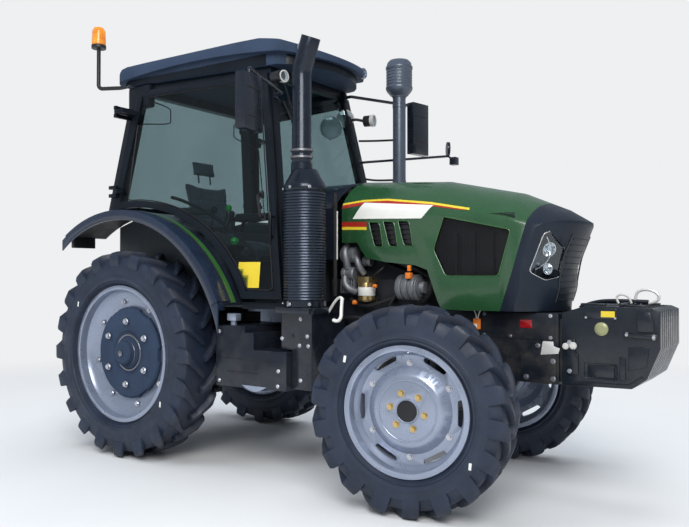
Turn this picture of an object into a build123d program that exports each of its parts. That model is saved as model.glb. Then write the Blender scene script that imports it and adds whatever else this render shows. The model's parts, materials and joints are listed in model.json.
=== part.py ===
from build123d import *
import os
from math import atan2, cos, degrees, hypot, pi, radians, sin, sqrt, tau

# A mid-size four-wheel-drive farm tractor with a closed cab, in millimetres.
# While it is being built, X runs forward from the rear axle, Y to the left and Z up from the
# ground.  export() moves everything so that the row's origin is the middle of the whole
# tractor's footprint, on the ground.

# ---------------------------------------------------------------- driving dimensions
WHEELBASE = 2140.0
FRONT_REACH = 3252.0          # face of the front weights, ahead of the rear axle
REAR_REACH = 945.0            # end of the lower links, behind the rear axle
MID_X = (FRONT_REACH - REAR_REACH) / 2

REAR_TYRE_R = 684.0
REAR_TYRE_W = 310.0
REAR_RIM_R = 453.0            # radius of the rim flange
REAR_RIM_W = 255.0
REAR_TRACK = 1390.0

FRONT_TYRE_R = 528.0
FRONT_TYRE_W = 255.0
FRONT_RIM_R = 330.0
FRONT_RIM_W = 222.0
FRONT_TRACK = 1440.0
KINGPIN_Y = 540.0             # steering axis, out from the centre line
STEER_AT_REST = 9.4           # degrees, wheels turned to the left as it is parked

RUN_GAP = 0.5                 # running gap between turning faces
SEAT_GAP = 0.3                # gap between pieces that rest on each other

HOOD_HALF_W = 330.0
HOOD_REAR_X = 1461.0
HOOD_SKIN = 6.0

CAB_FLOOR_Z = 1000.0
CAB_FRAME_TOP_Z = 2540.0
CAB_FRONT_X = 1250.0          # foot of the front pillars
CAB_FRONT_FOOT_Z = 1040.0
CAB_FRONT_RAKE = 0.185        # how far the front leans back, per unit of height
CAB_REAR_X = -215.0           # foot of the rear pillars
CAB_REAR_FOOT_Z = 1620.0
CAB_REAR_RAKE = 0.09          # how far the rear leans forward, per unit of height
SIDE_OFFSET = 956.0           # half width of the side plane at the axle on the ground
SIDE_TAPER = 0.139            # how much narrower per unit forward
SIDE_LEAN = 0.1464            # how much narrower per unit up
PILLAR = 60.0
PILLAR_DEEP = 55.0
DOOR_THICK = 24.0
DOOR_GAP = 7.0
GLASS_INSET = 20.0            # windscreen and front panel, behind the front plane

EXHAUST_X, EXHAUST_Y = 1385.0, 598.0     # exhaust stack, on the right
MAST_X, MAST_Y = 1345.0, 550.0           # air intake, on the left


# ---------------------------------------------------------------- helpers
def side_y(x, z):
    """Half width of the cab's outer side plane."""
    return SIDE_OFFSET - SIDE_TAPER * x - SIDE_LEAN * z


def front_x(z):
    """Outer face of the cab's front plane."""
    return CAB_FRONT_X - CAB_FRONT_RAKE * (z - CAB_FRONT_FOOT_Z)


def rear_x(z):
    """Outer face of the cab's rear plane."""
    return CAB_REAR_X + CAB_REAR_RAKE * (z - CAB_REAR_FOOT_Z)


def face_of(points):
    return Face(Wire.make_polygon([Vector(*p) for p in points], close=True))


def plate_xz(points, y0, y1):
    """A plate whose outline is in X and Z, from y0 to y1."""
    return extrude(face_of([(x, y0, z) for x, z in points]), amount=y1 - y0, dir=(0, 1, 0))


def plate_xy(points, z0, z1):
    return extrude(face_of([(x, y, z0) for x, y in points]), amount=z1 - z0, dir=(0, 0, 1))


def plate_yz(points, x0, x1):
    return extrude(face_of([(x0, y, z) for y, z in points]), amount=x1 - x0, dir=(1, 0, 0))


def block(x0, x1, y0, y1, z0, z1):
    return Pos((x0 + x1) / 2, (y0 + y1) / 2, (z0 + z1) / 2) * Box(x1 - x0, y1 - y0, z1 - z0)


def rod(p0, p1, r):
    """A round bar between two points."""
    a, b = Vector(*p0), Vector(*p1)
    way = b - a
    plane = Plane(origin=a, z_dir=way)
    return extrude(plane * Circle(r), amount=way.length)


def bar(p0, p1, w, h, side=(0, 1, 0)):
    """A rectangular bar between two points: w across the side direction's normal, h along it."""
    a, b = Vector(*p0), Vector(*p1)
    way = b - a
    across = way.cross(Vector(*side))
    plane = Plane(origin=a, x_dir=across, z_dir=way)
    return extrude(plane * Rectangle(w, h), amount=way.length)


def bent_tube(points, bend, r):
    """A round tube along straight runs with round bends."""
    path = FilletPolyline(*[Vector(*p) for p in points], radius=bend)
    start = Vector(*points[0])
    plane = Plane(origin=start, z_dir=Vector(*points[1]) - start)
    return sweep(plane * Circle(r), path=path)


def both_sides(shape):
    """The shape and its mirror image on the other side of the tractor."""
    return [shape, mirror(shape, about=Plane.XZ)]


def joined(pieces):
    out = pieces[0]
    for piece in pieces[1:]:
        out = out + piece
    return out


def spun(profile_points):
    """A solid of revolution about Y through the origin, from points of radius and width."""
    face = face_of([(r, w, 0) for r, w in profile_points])
    return revolve(face, axis=Axis.Y)


def on_kingpin(shape, side):
    """Turns a piece made with the wheels straight ahead to where they point at rest."""
    here = (WHEELBASE, side * KINGPIN_Y, 0)
    return Pos(*here) * Rot(0, 0, STEER_AT_REST) * Pos(-here[0], -here[1], 0) * shape


def solids_of(shape):
    if isinstance(shape, (list, tuple)):
        found = []
        for one in shape:
            found += solids_of(one)
        return found
    return list(shape.solids())


def export(name, *shapes):
    """Writes one node, moved to the row's origin."""
    found = [Pos(-MID_X, 0, 0) * s for s in solids_of(shapes)]
    whole = found[0] if len(found) == 1 else Compound(children=found)
    whole.label = name
    export_step(whole, f"parts/{name}.step")


# ---------------------------------------------------------------- wheels
TYRES = {
    # outer radius, width, flange radius, rim width
    "front": (FRONT_TYRE_R, FRONT_TYRE_W, FRONT_RIM_R, FRONT_RIM_W),
    "rear": (REAR_TYRE_R, REAR_TYRE_W, REAR_RIM_R, REAR_RIM_W),
}
FLANGE_T = 9.0                # thickness of the rim's edge
SEAT_DROP = 20.0              # bead seat, below the flange
LUG_H = 36.0


LUG_TABLE = {
    # lugs a side, flat sides of the carcass
    "front": (16, 16),
    "rear": (18, 18),
}
LUG_SINK = 14.0               # how far a lug's foot goes into the carcass
LUG_SWEEP = 135.0             # how far its shoulder end trails its centre end


def ring_point(r, a, y):
    """A point on the wheel, at an angle from the top towards the front."""
    return (r * sin(a), y, r * cos(a))


def flat_solid(polygons):
    """A closed solid of flat faces; a four-sided face that isn't flat is given as two triangles."""
    solid = Solid(Shell([Face(Wire.make_polygon(p)) for p in polygons]))
    return solid if solid.volume > 0 else Solid(Shell([Face(Wire.make_polygon(p[::-1])) for p in polygons]))


def turned_flat(profile, sides, start=0.0):
    """A closed profile of (radius, y), turned in flat steps."""
    polygons = []
    for i in range(sides):
        a, b = start + tau * i / sides, start + tau * (i + 1) / sides
        for (r0, y0), (r1, y1) in zip(profile, profile[1:] + profile[:1]):
            polygons.append([ring_point(r0, a, y0), ring_point(r0, b, y0), ring_point(r1, b, y1), ring_point(r1, a, y1)])
    return flat_solid(polygons)


def make_lug(kind, side, a):
    """One tread lug: from near the middle of the tread back to the shoulder, and down the side."""
    outer, width, flange, rim_w = TYRES[kind]
    half = width / 2
    foot = outer - LUG_H - LUG_SINK
    stations = (
        # length round the tyre, its middle's trail; top: radius, distance out; foot: radius, distance out
        (42.0, 0.0, outer, 6.0, foot, 4.0),
        (90.0, LUG_SWEEP, outer - 12, half + 2, outer - 70, half - 34),
        (106.0, LUG_SWEEP, outer - 104, half - 12, outer - 104, half - 12),
    )
    rings = []
    for length, trail, r_top, y_top, r_foot, y_foot in stations:
        corners = []
        for r, y, grow in ((r_top, y_top, 0), (r_foot, y_foot, 10 if r_foot < r_top else 0)):
            ends = ((a - (trail + t * (length / 2 + grow)) / outer) for t in (-1, 1))
            corners.append([ring_point(r, e, side * y) for e in ends])
        (top_a, top_b), (foot_a, foot_b) = corners
        rings.append([top_a, top_b, foot_b, foot_a])
    triangles = [rings[0][:3], [rings[0][0], rings[0][2], rings[0][3]]]
    for lower, upper in zip(rings, rings[1:]):
        for k in range(4):
            m = (k + 1) % 4
            for t in ([lower[m], lower[k], upper[k]], [lower[m], upper[k], upper[m]]):
                if len({tuple(round(v, 3) for v in q) for q in t}) == 3:
                    triangles.append(t)
    return flat_solid(triangles)


def make_tyre(kind):
    """The carcass in flat steps with its lugs, one of which stands on the ground."""
    outer, width, flange, rim_w = TYRES[kind]
    count, sides = (round(n) for n in LUG_TABLE[kind])
    step = cos(pi / sides)
    seat, half = (flange - SEAT_DROP + SEAT_GAP) / step, width / 2
    bead = rim_w / 2 - FLANGE_T - SEAT_GAP
    tread = outer - LUG_H
    profile = [(seat, -bead), (flange + 8, -bead), (flange + 50, -half), (tread, -half + 34),
               (tread, half - 34), (flange + 50, half), (flange + 8, bead), (seat, bead)]
    carcass = turned_flat(profile, sides)
    first = pi + 21 / outer
    lugs = []
    for i in range(count):
        lugs.append(make_lug(kind, 1, first + tau * i / count))
        lugs.append(make_lug(kind, -1, first + tau * (i + 0.5) / count))
    return carcass.fuse(*lugs)


def make_rim(kind):
    outer, width, flange, rim_w = TYRES[kind]
    seat = flange - SEAT_DROP
    half = rim_w / 2
    wall = 8.0
    well = seat - 26
    profile = [(flange, -half), (flange, -half + FLANGE_T), (seat, -half + FLANGE_T), (seat - 3, -half + 50),
               (well, -half + 75), (well, half - 75), (seat - 3, half - 50), (seat, half - FLANGE_T),
               (flange, half - FLANGE_T), (flange, half),
               (seat - wall, half), (seat - wall - 3, half - 52), (well - wall, half - 78),
               (well - wall, -half + 78), (seat - wall - 3, -half + 52), (seat - wall, -half)]
    return spun(profile)


# The rear disc stands where the axle flange is; a black weight plate is bolted outside it.
REAR_DISC_Y = 25.0            # disc face, out from the wheel's middle
REAR_DISC_T = 12.0
REAR_HUB_R = 90.0
REAR_WHEEL_Y = REAR_TRACK / 2
REAR_TRUMPET_END = REAR_WHEEL_Y - 70


def make_rear_rim():
    rim = make_rim("rear")
    seat = REAR_RIM_R - SEAT_DROP
    well_inside = seat - 26 - 8
    disc = spun([(0, REAR_DISC_Y - REAR_DISC_T), (0, REAR_DISC_Y), (well_inside - 60, REAR_DISC_Y),
                 (well_inside + 2, REAR_DISC_Y + 26), (well_inside + 2, REAR_DISC_Y + 10),
                 (well_inside - 56, REAR_DISC_Y - REAR_DISC_T)])
    hub = spun([(0, REAR_TRUMPET_END + RUN_GAP - REAR_WHEEL_Y), (REAR_HUB_R, REAR_TRUMPET_END + RUN_GAP - REAR_WHEEL_Y),
                (REAR_HUB_R, REAR_DISC_Y - REAR_DISC_T), (0, REAR_DISC_Y - REAR_DISC_T)])
    return rim + disc + hub


PLATE_R = 305.0
PLATE_T = 34.0
PLATE_BOLT_R = 210.0


def make_rear_plate():
    """The black weight plate with its bolts and the hub cap in its ring."""
    y0 = REAR_DISC_Y
    y1 = y0 + PLATE_T
    plate = spun([(0, y0), (PLATE_R, y0), (PLATE_R, y1 - 12), (PLATE_R - 14, y1), (150, y1), (136, y1 - 10), (0, y1 - 10)])
    for i in range(6):
        a = radians(60 * i + 30)
        notch = Pos((PLATE_R + 4) * sin(a), y0 + PLATE_T / 2, (PLATE_R + 4) * cos(a)) * Rot(0, 60 * i + 30, 0) * Box(90, PLATE_T + 2, 30)
        plate = plate - notch
        b = radians(60 * i)
        x, z = PLATE_BOLT_R * sin(b), PLATE_BOLT_R * cos(b)
        plate = plate + rod((x, y1 - 1, z), (x, y1 + 14, z), 17)
    cap = spun([(0, y1 - 10), (112, y1 - 10), (106, y1 + 8), (86, y1 + 8), (78, y1 + 44), (66, y1 + 54), (0, y1 + 58)])
    return plate + cap


FRONT_WHEEL_Y = FRONT_TRACK / 2
FRONT_HUB_R = 105.0
FRONT_HUB_IN = KINGPIN_Y + 108.0
FRONT_DISC_Y = 74.0           # disc's bolting face, out from the wheel's middle


def make_front_rim():
    rim = make_rim("front")
    seat = FRONT_RIM_R - SEAT_DROP
    well_inside = seat - 26 - 8
    y0 = FRONT_DISC_Y
    disc = spun([(52, y0 - 10), (52, y0), (172, y0), (184, y0 - 6), (222, y0 - 42), (well_inside + 2, y0 - 42),
                 (well_inside + 2, y0 - 54), (217, y0 - 54), (179, y0 - 17), (168, y0 - 10)])
    for i in range(6):
        a = radians(60 * i + 30)
        gap = Pos(265 * sin(a), y0 - 48, 265 * cos(a)) * Rot(0, 60 * i + 30, 0) * Box(132, 40, 34)
        disc = disc - fillet(gap.edges().filter_by(Axis.Y), 15)
    hub = spun([(0, FRONT_HUB_IN + RUN_GAP - FRONT_WHEEL_Y), (FRONT_HUB_R, FRONT_HUB_IN + RUN_GAP - FRONT_WHEEL_Y),
                (FRONT_HUB_R, y0 - 10), (50, y0 - 10), (50, y0 + 6), (0, y0 + 6)])
    return rim + disc + hub


def place_rear(shape, side):
    piece = shape if side > 0 else mirror(shape, about=Plane.XZ)
    return Pos(0, side * REAR_WHEEL_Y, REAR_TYRE_R) * piece


def place_front(shape, side):
    piece = shape if side > 0 else mirror(shape, about=Plane.XZ)
    return on_kingpin(Pos(WHEELBASE, side * FRONT_WHEEL_Y, FRONT_TYRE_R) * piece, side)


# ---------------------------------------------------------------- driveline
TRUMPET_R = 95.0
AXLE_BEAM_END = 440.0
YOKE_H = 96.0                 # yoke arm's inner face, above and below the axle
KNUCKLE_R = 55.0
ARM_BACK = 150.0              # steering arm's pin, behind the kingpin
ARM_IN = 15.0
ROD_RISE = 34.0               # steering rod, above the axle's height
BARREL_R = 32.0
SIDES = (("left", 1), ("right", -1))


def make_gearbox():
    z = REAR_TYRE_R
    middle = block(-240, 330, -215, 215, 480, 930)
    nose = block(330, ENGINE_REAR_X, -175, 175, 470, 860)
    bell = block(ENGINE_REAR_X - 140, ENGINE_REAR_X, -215, 215, 520, 960)
    trumpets = [rod((0, s * 200, z), (0, s * REAR_TRUMPET_END, z), TRUMPET_R) for s in (1, -1)]
    mounts = [block(-70, 70, s * 300 - 60, s * 300 + 60, z, CAB_FLOOR_Z - SEAT_GAP) for s in (1, -1)]
    return joined([middle, nose, bell] + trumpets + mounts)


ENGINE_REAR_X = 1290.0        # bell housing's front face
ENGINE_TO_AXLE = 160.0        # engine's front face, behind the front axle's middle
SUMP_TO_AXLE = 280.0
SUMP_OVER_AXLE = 62.0         # underside of the sump, above the axle's middle
BLOCK_LOW_Z = 700.0
CASTING_LONG = 123.0
FILTER_R = 52.0
ALTERNATOR_HALF = 66.0        # half length of its body
ENGINE_SPACES = (123.0, 9.0, 190.0, 9.0)     # free side lengths: bell, casting, filter, alternator, front face
ENGINE_FRONT_X = WHEELBASE - ENGINE_TO_AXLE
SPACING = (ENGINE_FRONT_X - ENGINE_REAR_X - CASTING_LONG - 2 * FILTER_R - 2 * ALTERNATOR_HALF) / sum(ENGINE_SPACES)
CASTING_X = ENGINE_REAR_X + ENGINE_SPACES[0] * SPACING
FILTER_AT = (CASTING_X + CASTING_LONG + ENGINE_SPACES[1] * SPACING + FILTER_R, -262.0)
ALTERNATOR_AT = (FILTER_AT[0] + FILTER_R + ENGINE_SPACES[2] * SPACING + ALTERNATOR_HALF, -278.0, 1135.0)


def make_engine():
    rear, front = ENGINE_REAR_X, ENGINE_FRONT_X
    lower = block(rear, front, -200, 200, BLOCK_LOW_Z, 1180)
    sump = block(rear + 40, WHEELBASE - SUMP_TO_AXLE, -150, 150, FRONT_TYRE_R + SUMP_OVER_AXLE, BLOCK_LOW_Z)
    head = block(rear + 50, front - 30, -165, 165, 1180, 1400)
    cover = block(rear + 80, front - 60, -120, 120, 1400, 1500)
    casting = chamfer(block(CASTING_X, CASTING_X + CASTING_LONG, -255, -150, 1079, 1398).edges().filter_by(Axis.Z), 18)
    return joined([lower, sump, head, cover, casting])


def make_fuel_filter():
    """The brass-coloured filter can under its head, on the open side of the engine."""
    x, y = FILTER_AT
    r = FILTER_R
    can = revolve(face_of([(0, 0, 1046), (r - 12, 0, 1046), (r, 0, 1058), (r, 0, 1160), (0, 0, 1160)]), axis=Axis.Z)
    head = block(x - 40, x + 40, y - 42, -200 - SEAT_GAP, 1160, 1196)
    return Pos(x, y, 0) * can + head


def make_alternator():
    """The ribbed generator with its pulley, held off the engine by two lugs."""
    x, y, z = ALTERNATOR_AT
    end = ALTERNATOR_HALF
    profile = [(0, -end), (64, -end), (72, 14 - end), (72, -30), (66, -26), (66, -14), (72, -10), (72, 10), (66, 14), (66, 26),
               (72, 30), (72, end - 14), (60, end), (0, end)]
    body = Pos(x, y, z) * Rot(0, 0, -90) * spun(profile)
    pulley = rod((x + 60, y, z), (x + 104, y, z), 34)
    lugs = [block(x + t - 10, x + t + 10, y, -200 - SEAT_GAP, z - 24, z + 24) for t in (-40, 40)]
    return joined([body, pulley] + lugs)


FRAME_Y = 235.0               # outer face of the front frame's side plates
FRAME_FRONT_X = 2760.0
FRAME_REAR_X = WHEELBASE - 290
FRAME_TOP_Z = 1008.0
FRAME_LOW_Z = 820.0
BEARER_OVER_AXLE = 82.0       # underside of the trunnion's bearers, above the axle's middle
CHEEK_OVER_AXLE = 172.0       # underside of the cheeks beside the trunnion


def make_front_frame():
    x, front, low, top = WHEELBASE, FRAME_FRONT_X, FRAME_LOW_Z, FRAME_TOP_Z
    cheek = FRONT_TYRE_R + CHEEK_OVER_AXLE
    ahead = (front - x - 50) / 570            # the plates' drawn length ahead of the cheeks is 570
    outline = [(FRAME_REAR_X, low), (x - 50, low), (x - 50, cheek), (x + 50, cheek), (x + 50, low),
               (x + 50 + 240 * ahead, low), (x + 50 + 280 * ahead, 640), (front, 640), (front, top), (FRAME_REAR_X, top)]
    plates = [plate_xz(outline, s * (FRAME_Y - 35), s * FRAME_Y) for s in (1, -1)]
    floor = block(x - 78, front, -FRAME_Y + 30, FRAME_Y - 30, top - 23, top)
    nose = block(front - 30, front, -FRAME_Y + 30, FRAME_Y - 30, 640, 990)
    cross = [block(x + t - 20, x + t + 20, -FRAME_Y + 30, FRAME_Y - 30, FRONT_TYRE_R + BEARER_OVER_AXLE, low)
             for t in (-125, 125)]
    return joined(plates + [floor, nose] + cross)


def make_front_axle():
    z = FRONT_TYRE_R
    x = WHEELBASE
    trunnion = rod((x - 105, 0, z + 110), (x + 105, 0, z + 110), 42)
    bowl = rod((x - 105, 0, z), (x + 105, 0, z), 120)
    beams = [block(x - 60, x + 60, min(s * 80, s * AXLE_BEAM_END), max(s * 80, s * AXLE_BEAM_END), z - 62, z + 62)
             for s in (1, -1)]
    yokes = []
    for s in (1, -1):
        lo, hi = sorted((s * (AXLE_BEAM_END - 40), s * KINGPIN_Y))
        web_lo, web_hi = sorted((s * (AXLE_BEAM_END - 40), s * AXLE_BEAM_END))
        yokes.append(block(x - 60, x + 60, web_lo, web_hi, z - YOKE_H - 22, z + YOKE_H + 22))
        for up in (1, -1):
            z0, z1 = sorted((z + up * YOKE_H, z + up * (YOKE_H + 22)))
            yokes.append(block(x - 45, x + 45, lo, hi, z0, z1))
            yokes.append(rod((x, s * KINGPIN_Y, z0), (x, s * KINGPIN_Y, z1), 45))
    barrel = rod((x - ARM_BACK, -190, z + ROD_RISE), (x - ARM_BACK, 190, z + ROD_RISE), BARREL_R)
    bore = rod((x - ARM_BACK, -200, z + ROD_RISE), (x - ARM_BACK, 200, z + ROD_RISE), 14.5)
    lugs = [block(x - ARM_BACK, x - 55, s * 150 - 15, s * 150 + 15, z + 5, z + ROD_RISE + 15) for s in (1, -1)]
    shaft = rod((ENGINE_REAR_X, 0, z), (x - 105, 0, z), 34)
    return joined([trunnion, bowl, shaft] + beams + yokes + [barrel] + lugs) - bore


def make_knuckle(side):
    x, z = WHEELBASE, FRONT_TYRE_R
    y = side * KINGPIN_Y
    post = rod((x, y, z - YOKE_H + RUN_GAP), (x, y, z + YOKE_H - RUN_GAP), KNUCKLE_R)
    neck = rod((x, y, z), (x, side * FRONT_HUB_IN, z), 78)
    pin_y = side * (KINGPIN_Y - ARM_IN)
    arm = bar((x, y, z), (x - ARM_BACK, pin_y, z), 36, 26, side=(0, 0, 1))
    eye = rod((x - ARM_BACK, pin_y, z - 13), (x - ARM_BACK, pin_y, z + 13), 22)
    return on_kingpin(joined([post, neck, arm, eye]), side)


def rod_shift():
    """How far the steering rod stands from its middle at rest."""
    a = radians(STEER_AT_REST)
    return -ARM_BACK * sin(a) - ARM_IN * (1 - cos(a))


def make_steering_rod():
    x, z = WHEELBASE - ARM_BACK, FRONT_TYRE_R + ROD_RISE
    reach = KINGPIN_Y - ARM_IN
    shaft = rod((x, -reach, z), (x, reach, z), 14)
    eyes = [rod((x, s * reach, z - 12), (x, s * reach, z + 12), 22) for s in (1, -1)]
    return Pos(0, rod_shift(), 0) * joined([shaft] + eyes)


# ---------------------------------------------------------------- hood
HOOD_SECTIONS = (
    # x, half width, height of the side crease, height of the crown
    (HOOD_REAR_X, HOOD_HALF_W, 1644, 1800),
    (2050, HOOD_HALF_W, 1612, 1762),
    (2500, HOOD_HALF_W, 1535, 1664),
    (2740, HOOD_HALF_W, 1462, 1562),
    (2900, HOOD_HALF_W, 1395, 1462),
)
HOOD_LOW_Z = 1015.0
NOSE_BOW = 185.0              # how far the front bows out at its middle
NOSE_PROFILE = (
    # height, x of the front at its middle
    (900, 2722), (1058, 2738), (1131, 2764), (1248, 2770), (1470, 2858), (1900, 2858),
)
NOSE_CUT = ((2760, 1720), (2642, 1574), (2622, 1475), (2552, 1243), (2474, 1000), (3000, 1000), (3000, 1720))


def hood_section(x, half, crease, crown, low):
    edge = half * 0.95
    side = Polyline((x, -edge, crease), (x, -half, crease - 30), (x, -half, low), (x, half, low),
                    (x, half, crease - 30), (x, edge, crease))
    top = ThreePointArc((x, edge, crease), (x, 0, crown), (x, -edge, crease))
    return Face(Wire([*side.edges(), *top.edges()]))


def hood_form(inset):
    """The hood's outer form, or the hollow inside it."""
    first = 0 if inset == 0 else -40
    low = HOOD_LOW_Z if inset == 0 else HOOD_LOW_Z - 60
    faces = []
    for i, (x, half, crease, crown) in enumerate(HOOD_SECTIONS):
        x = x + first if i == 0 else x
        faces.append(hood_section(x, half - inset, crease - inset, crown - inset, low))
    body = loft(faces, ruled=True)
    half = HOOD_HALF_W + 5
    back = HOOD_REAR_X - 100
    plans = []
    for z, tip in NOSE_PROFILE:
        tip = tip - inset
        corner = tip - NOSE_BOW
        plan = Polyline((corner, -half, z), (back, -half, z), (back, half, z), (corner, half, z))
        bow = ThreePointArc((corner, half, z), (tip, 0, z), (corner, -half, z))
        plans.append(Face(Wire([*plan.edges(), *bow.edges()])))
    return body & loft(plans, ruled=True)


HEADLAMP = ((2742, 1450), (2786, 1350), (2768, 1284), (2742, 1182), (2686, 1164), (2614, 1222), (2700, 1430))
HEADLAMP_LENS = ((2732, 1435), (2772, 1347), (2755, 1287), (2734, 1193), (2689, 1177), (2628, 1225), (2705, 1417))
HOOD_LOWER = ((1400, 900), (1400, 1400), (1571, 1400), (1636, 1307), (1768, 1282), (1968, 1262), (2045, 1235),
              (2108, 1068), (2135, 1014), (2135, 900))
VENT_XS = (1655.0, 1755.0, 1855.0)


def make_hood_shell():
    shell = hood_form(0) - hood_form(HOOD_SKIN)
    shell = shell - plate_xz(HOOD_LOWER, -400, 400)
    for x in VENT_XS:
        shell = shell - plate_xz([(x, 1520), (x + 75, 1515), (x + 100, 1365), (x + 40, 1375)], -400, 400)
    window = [(2150, 1530), (2540, 1445), (2470, 1200), (2160, 1200), (2085, 1350)]
    shell = shell - plate_xz(window, -400, 400)
    return shell


def make_hood():
    hood = make_hood_shell() - plate_xz(NOSE_CUT, -500, 500)
    x, z = HOOD_HINGE
    solid = hood_form(HOOD_SKIN / 2)
    for s in (1, -1):
        y = s * HOOD_HINGE_Y
        eye = rod((x, y - 8, z), (x, y + 8, z), 13) + block(x - 8, x + 30, y - 8, y + 8, z, z + 40)
        hood = hood + (eye & solid)
    hole = rod((x, -300, z), (x, 300, z), HINGE_PIN_R + 0.05)
    return hood - hole


def make_hood_nose():
    nose = make_hood_shell() & plate_xz(NOSE_CUT, -500, 500)
    for s in (1, -1):
        nose = nose - plate_xz(HEADLAMP_LENS, *sorted((s * 60, s * 400)))
    return nose


def make_hood_grilles():
    """The dark mesh panels behind the side windows of the hood."""
    panel = plate_xz([(2110, 1535), (2550, 1453), (2480, 1185), (2150, 1185), (2070, 1345)],
                     HOOD_HALF_W - HOOD_SKIN - 5 - SEAT_GAP, HOOD_HALF_W - HOOD_SKIN - SEAT_GAP)
    return both_sides(panel)


HOOD_HINGE = (1478.0, 1765.0)
HOOD_HINGE_Y = 68.0
HINGE_PIN_R = 6.0


COWL_FRONT_X = HOOD_REAR_X - 28      # room for the hood's rear edge as it swings
COWL_TOP_Z = 1796.0


def make_cowl():
    """The fixed black cover between hood and windscreen, with the hood's hinge brackets."""
    x0 = 1100
    body = extrude(hood_section(x0, 375, 1640, COWL_TOP_Z, 1300), amount=COWL_FRONT_X - x0, dir=(1, 0, 0))
    inner = hood_section(x0, 367, 1632, COWL_TOP_Z - 8, 1280)
    body = body - extrude(inner, amount=COWL_FRONT_X - x0, dir=(1, 0, 0))
    rear = SEAT_GAP - GLASS_INSET
    behind = [(900, 1000), (front_x(1000) + rear, 1000), (front_x(1900) + rear, 1900), (900, 1900)]
    body = body - plate_xz(behind, -500, 500)
    bulkhead = extrude(hood_section(1300, 369, 1634, COWL_TOP_Z - 6, 1290), amount=8, dir=(1, 0, 0))
    foot = block(1300, 1308, -200, 200, 960 + SEAT_GAP, 1300)
    x, z = HOOD_HINGE
    pieces = [body, bulkhead, foot - block(1290, 1320, -205, 205, 960, 1180 + SEAT_GAP)]
    for s in (1, -1):
        pieces.append(rod((x, s * (HOOD_HINGE_Y - 8), z), (x, s * (HOOD_HINGE_Y + 18), z), HINGE_PIN_R))
        lo, hi = sorted((s * (HOOD_HINGE_Y + 8.5), s * (HOOD_HINGE_Y + 18)))
        pieces.append(plate_xz([(1302, z - 90), (1400, z - 80), (x + 8, z - 8), (x + 8, z + 7), (x - 4, z + 7), (x - 14, z - 10), (1302, z - 50)],
                               lo, hi))
    return joined(pieces)


# ---------------------------------------------------------------- cab
def side_plate(outline, depth, thick):
    """A plate parallel to the cab's left side plane: its outer face is depth inside that plane."""
    outer = [(x, side_y(x, z) - depth, z) for x, z in outline]
    return extrude(face_of(outer), amount=thick, dir=(0, -1, 0))


FENDER_ARC = ((-620.0, 1440.0), (-80.0, 1632.0), (930.0, 1030.0))   # rear tip, crest, front foot
FENDER_SHEET = 8.0
FENDER_REAR_X = -560.0
FENDER_OUT_Y = 850.0
ARCH_GAP = 32.0               # inner wall of the wheel arch, inside the tyre
FENDER_IN_Y = REAR_WHEEL_Y - REAR_TYRE_W / 2 - ARCH_GAP
LIP_Y = 800.0
LIP_DROP = 62.0
DOOR_OVER_FENDER = 30.0


def circle_through(p, q, r):
    """Centre and radius of the circle through three points."""
    ax, ay = q[0] - p[0], q[1] - p[1]
    bx, by = r[0] - p[0], r[1] - p[1]
    d = 2 * (ax * by - ay * bx)
    ux = (by * (ax * ax + ay * ay) - ay * (bx * bx + by * by)) / d
    uy = (ax * (bx * bx + by * by) - bx * (ax * ax + ay * ay)) / d
    return (p[0] + ux, p[1] + uy), hypot(ux, uy)


FENDER_C, FENDER_R = circle_through(*FENDER_ARC)


def arc_point(radius, x):
    """The point at x on the upper half of a circle about the fender's centre."""
    return x, FENDER_C[1] + sqrt(radius ** 2 - (x - FENDER_C[0]) ** 2)


def arch(r_in, r_out, x0, x1, y0, y1):
    """A curved sheet between two radii about the fender's centre, between two X values."""
    def edge(radius, a, b):
        mid = (a + b) / 2
        pts = [(*arc_point(radius, x),) for x in (a, mid, b)]
        return ThreePointArc(*[(x, y0, z) for x, z in pts])
    outer = edge(r_out, x0, x1)
    inner = edge(r_in, x1, x0)
    a0, a1 = arc_point(r_out, x1), arc_point(r_in, x1)
    b0, b1 = arc_point(r_in, x0), arc_point(r_out, x0)
    wire = Wire([*outer.edges(), Line((a0[0], y0, a0[1]), (a1[0], y0, a1[1])).edge(), *inner.edges(),
                 Line((b0[0], y0, b0[1]), (b1[0], y0, b1[1])).edge()])
    return extrude(Face(wire), amount=y1 - y0, dir=(0, 1, 0))


def make_fender():
    """Left fender: the green sheet from the cab's inner wall out to the lip."""
    return arch(FENDER_R - FENDER_SHEET, FENDER_R, FENDER_REAR_X, 925, FENDER_IN_Y, LIP_Y)


def make_lip():
    """Left fender's black edge with its turned-down rim."""
    top = arch(FENDER_R - FENDER_SHEET - 6, FENDER_R - 2, -600, 930, LIP_Y, FENDER_OUT_Y)
    rim = arch(FENDER_R - LIP_DROP, FENDER_R - 2, -600, 930, FENDER_OUT_Y - 12, FENDER_OUT_Y)
    return top + rim


def fender_disc(radius):
    """Everything within a radius of the fender's centre."""
    return rod((FENDER_C[0], -1000, FENDER_C[1]), (FENDER_C[0], 1000, FENDER_C[1]), radius)


REAR_WALL_X = -235.0
ARCH_REAR_X = -400.0           # the inner walls of the wheel arches run on behind the cab
SHELF_Z = 1440.0
REAR_SILL_Z = 1650.0
REAR_BULGE = 50.0             # how far the rear window stands behind the pillars
FRAME_DEPTH = DOOR_THICK + DOOR_GAP      # the frame's outer face, inside the side plane
FRAME_IN = FRAME_DEPTH + PILLAR_DEEP     # and its inner face


def rear_ring(z0, z1, inset, x_out, thick):
    """A plate shaped like the rear window, behind the pillars."""
    pts = []
    for z in (z0 + inset, z1 - inset):
        pts.append((rear_x(z) - x_out, side_y(rear_x(z), z) - FRAME_DEPTH - inset, z))
    (xa, ya, za), (xb, yb, zb) = pts
    return extrude(face_of([(xa, -ya, za), (xa, ya, za), (xb, yb, zb), (xb, -yb, zb)]), amount=thick, dir=(1, 0, 0))


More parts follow.
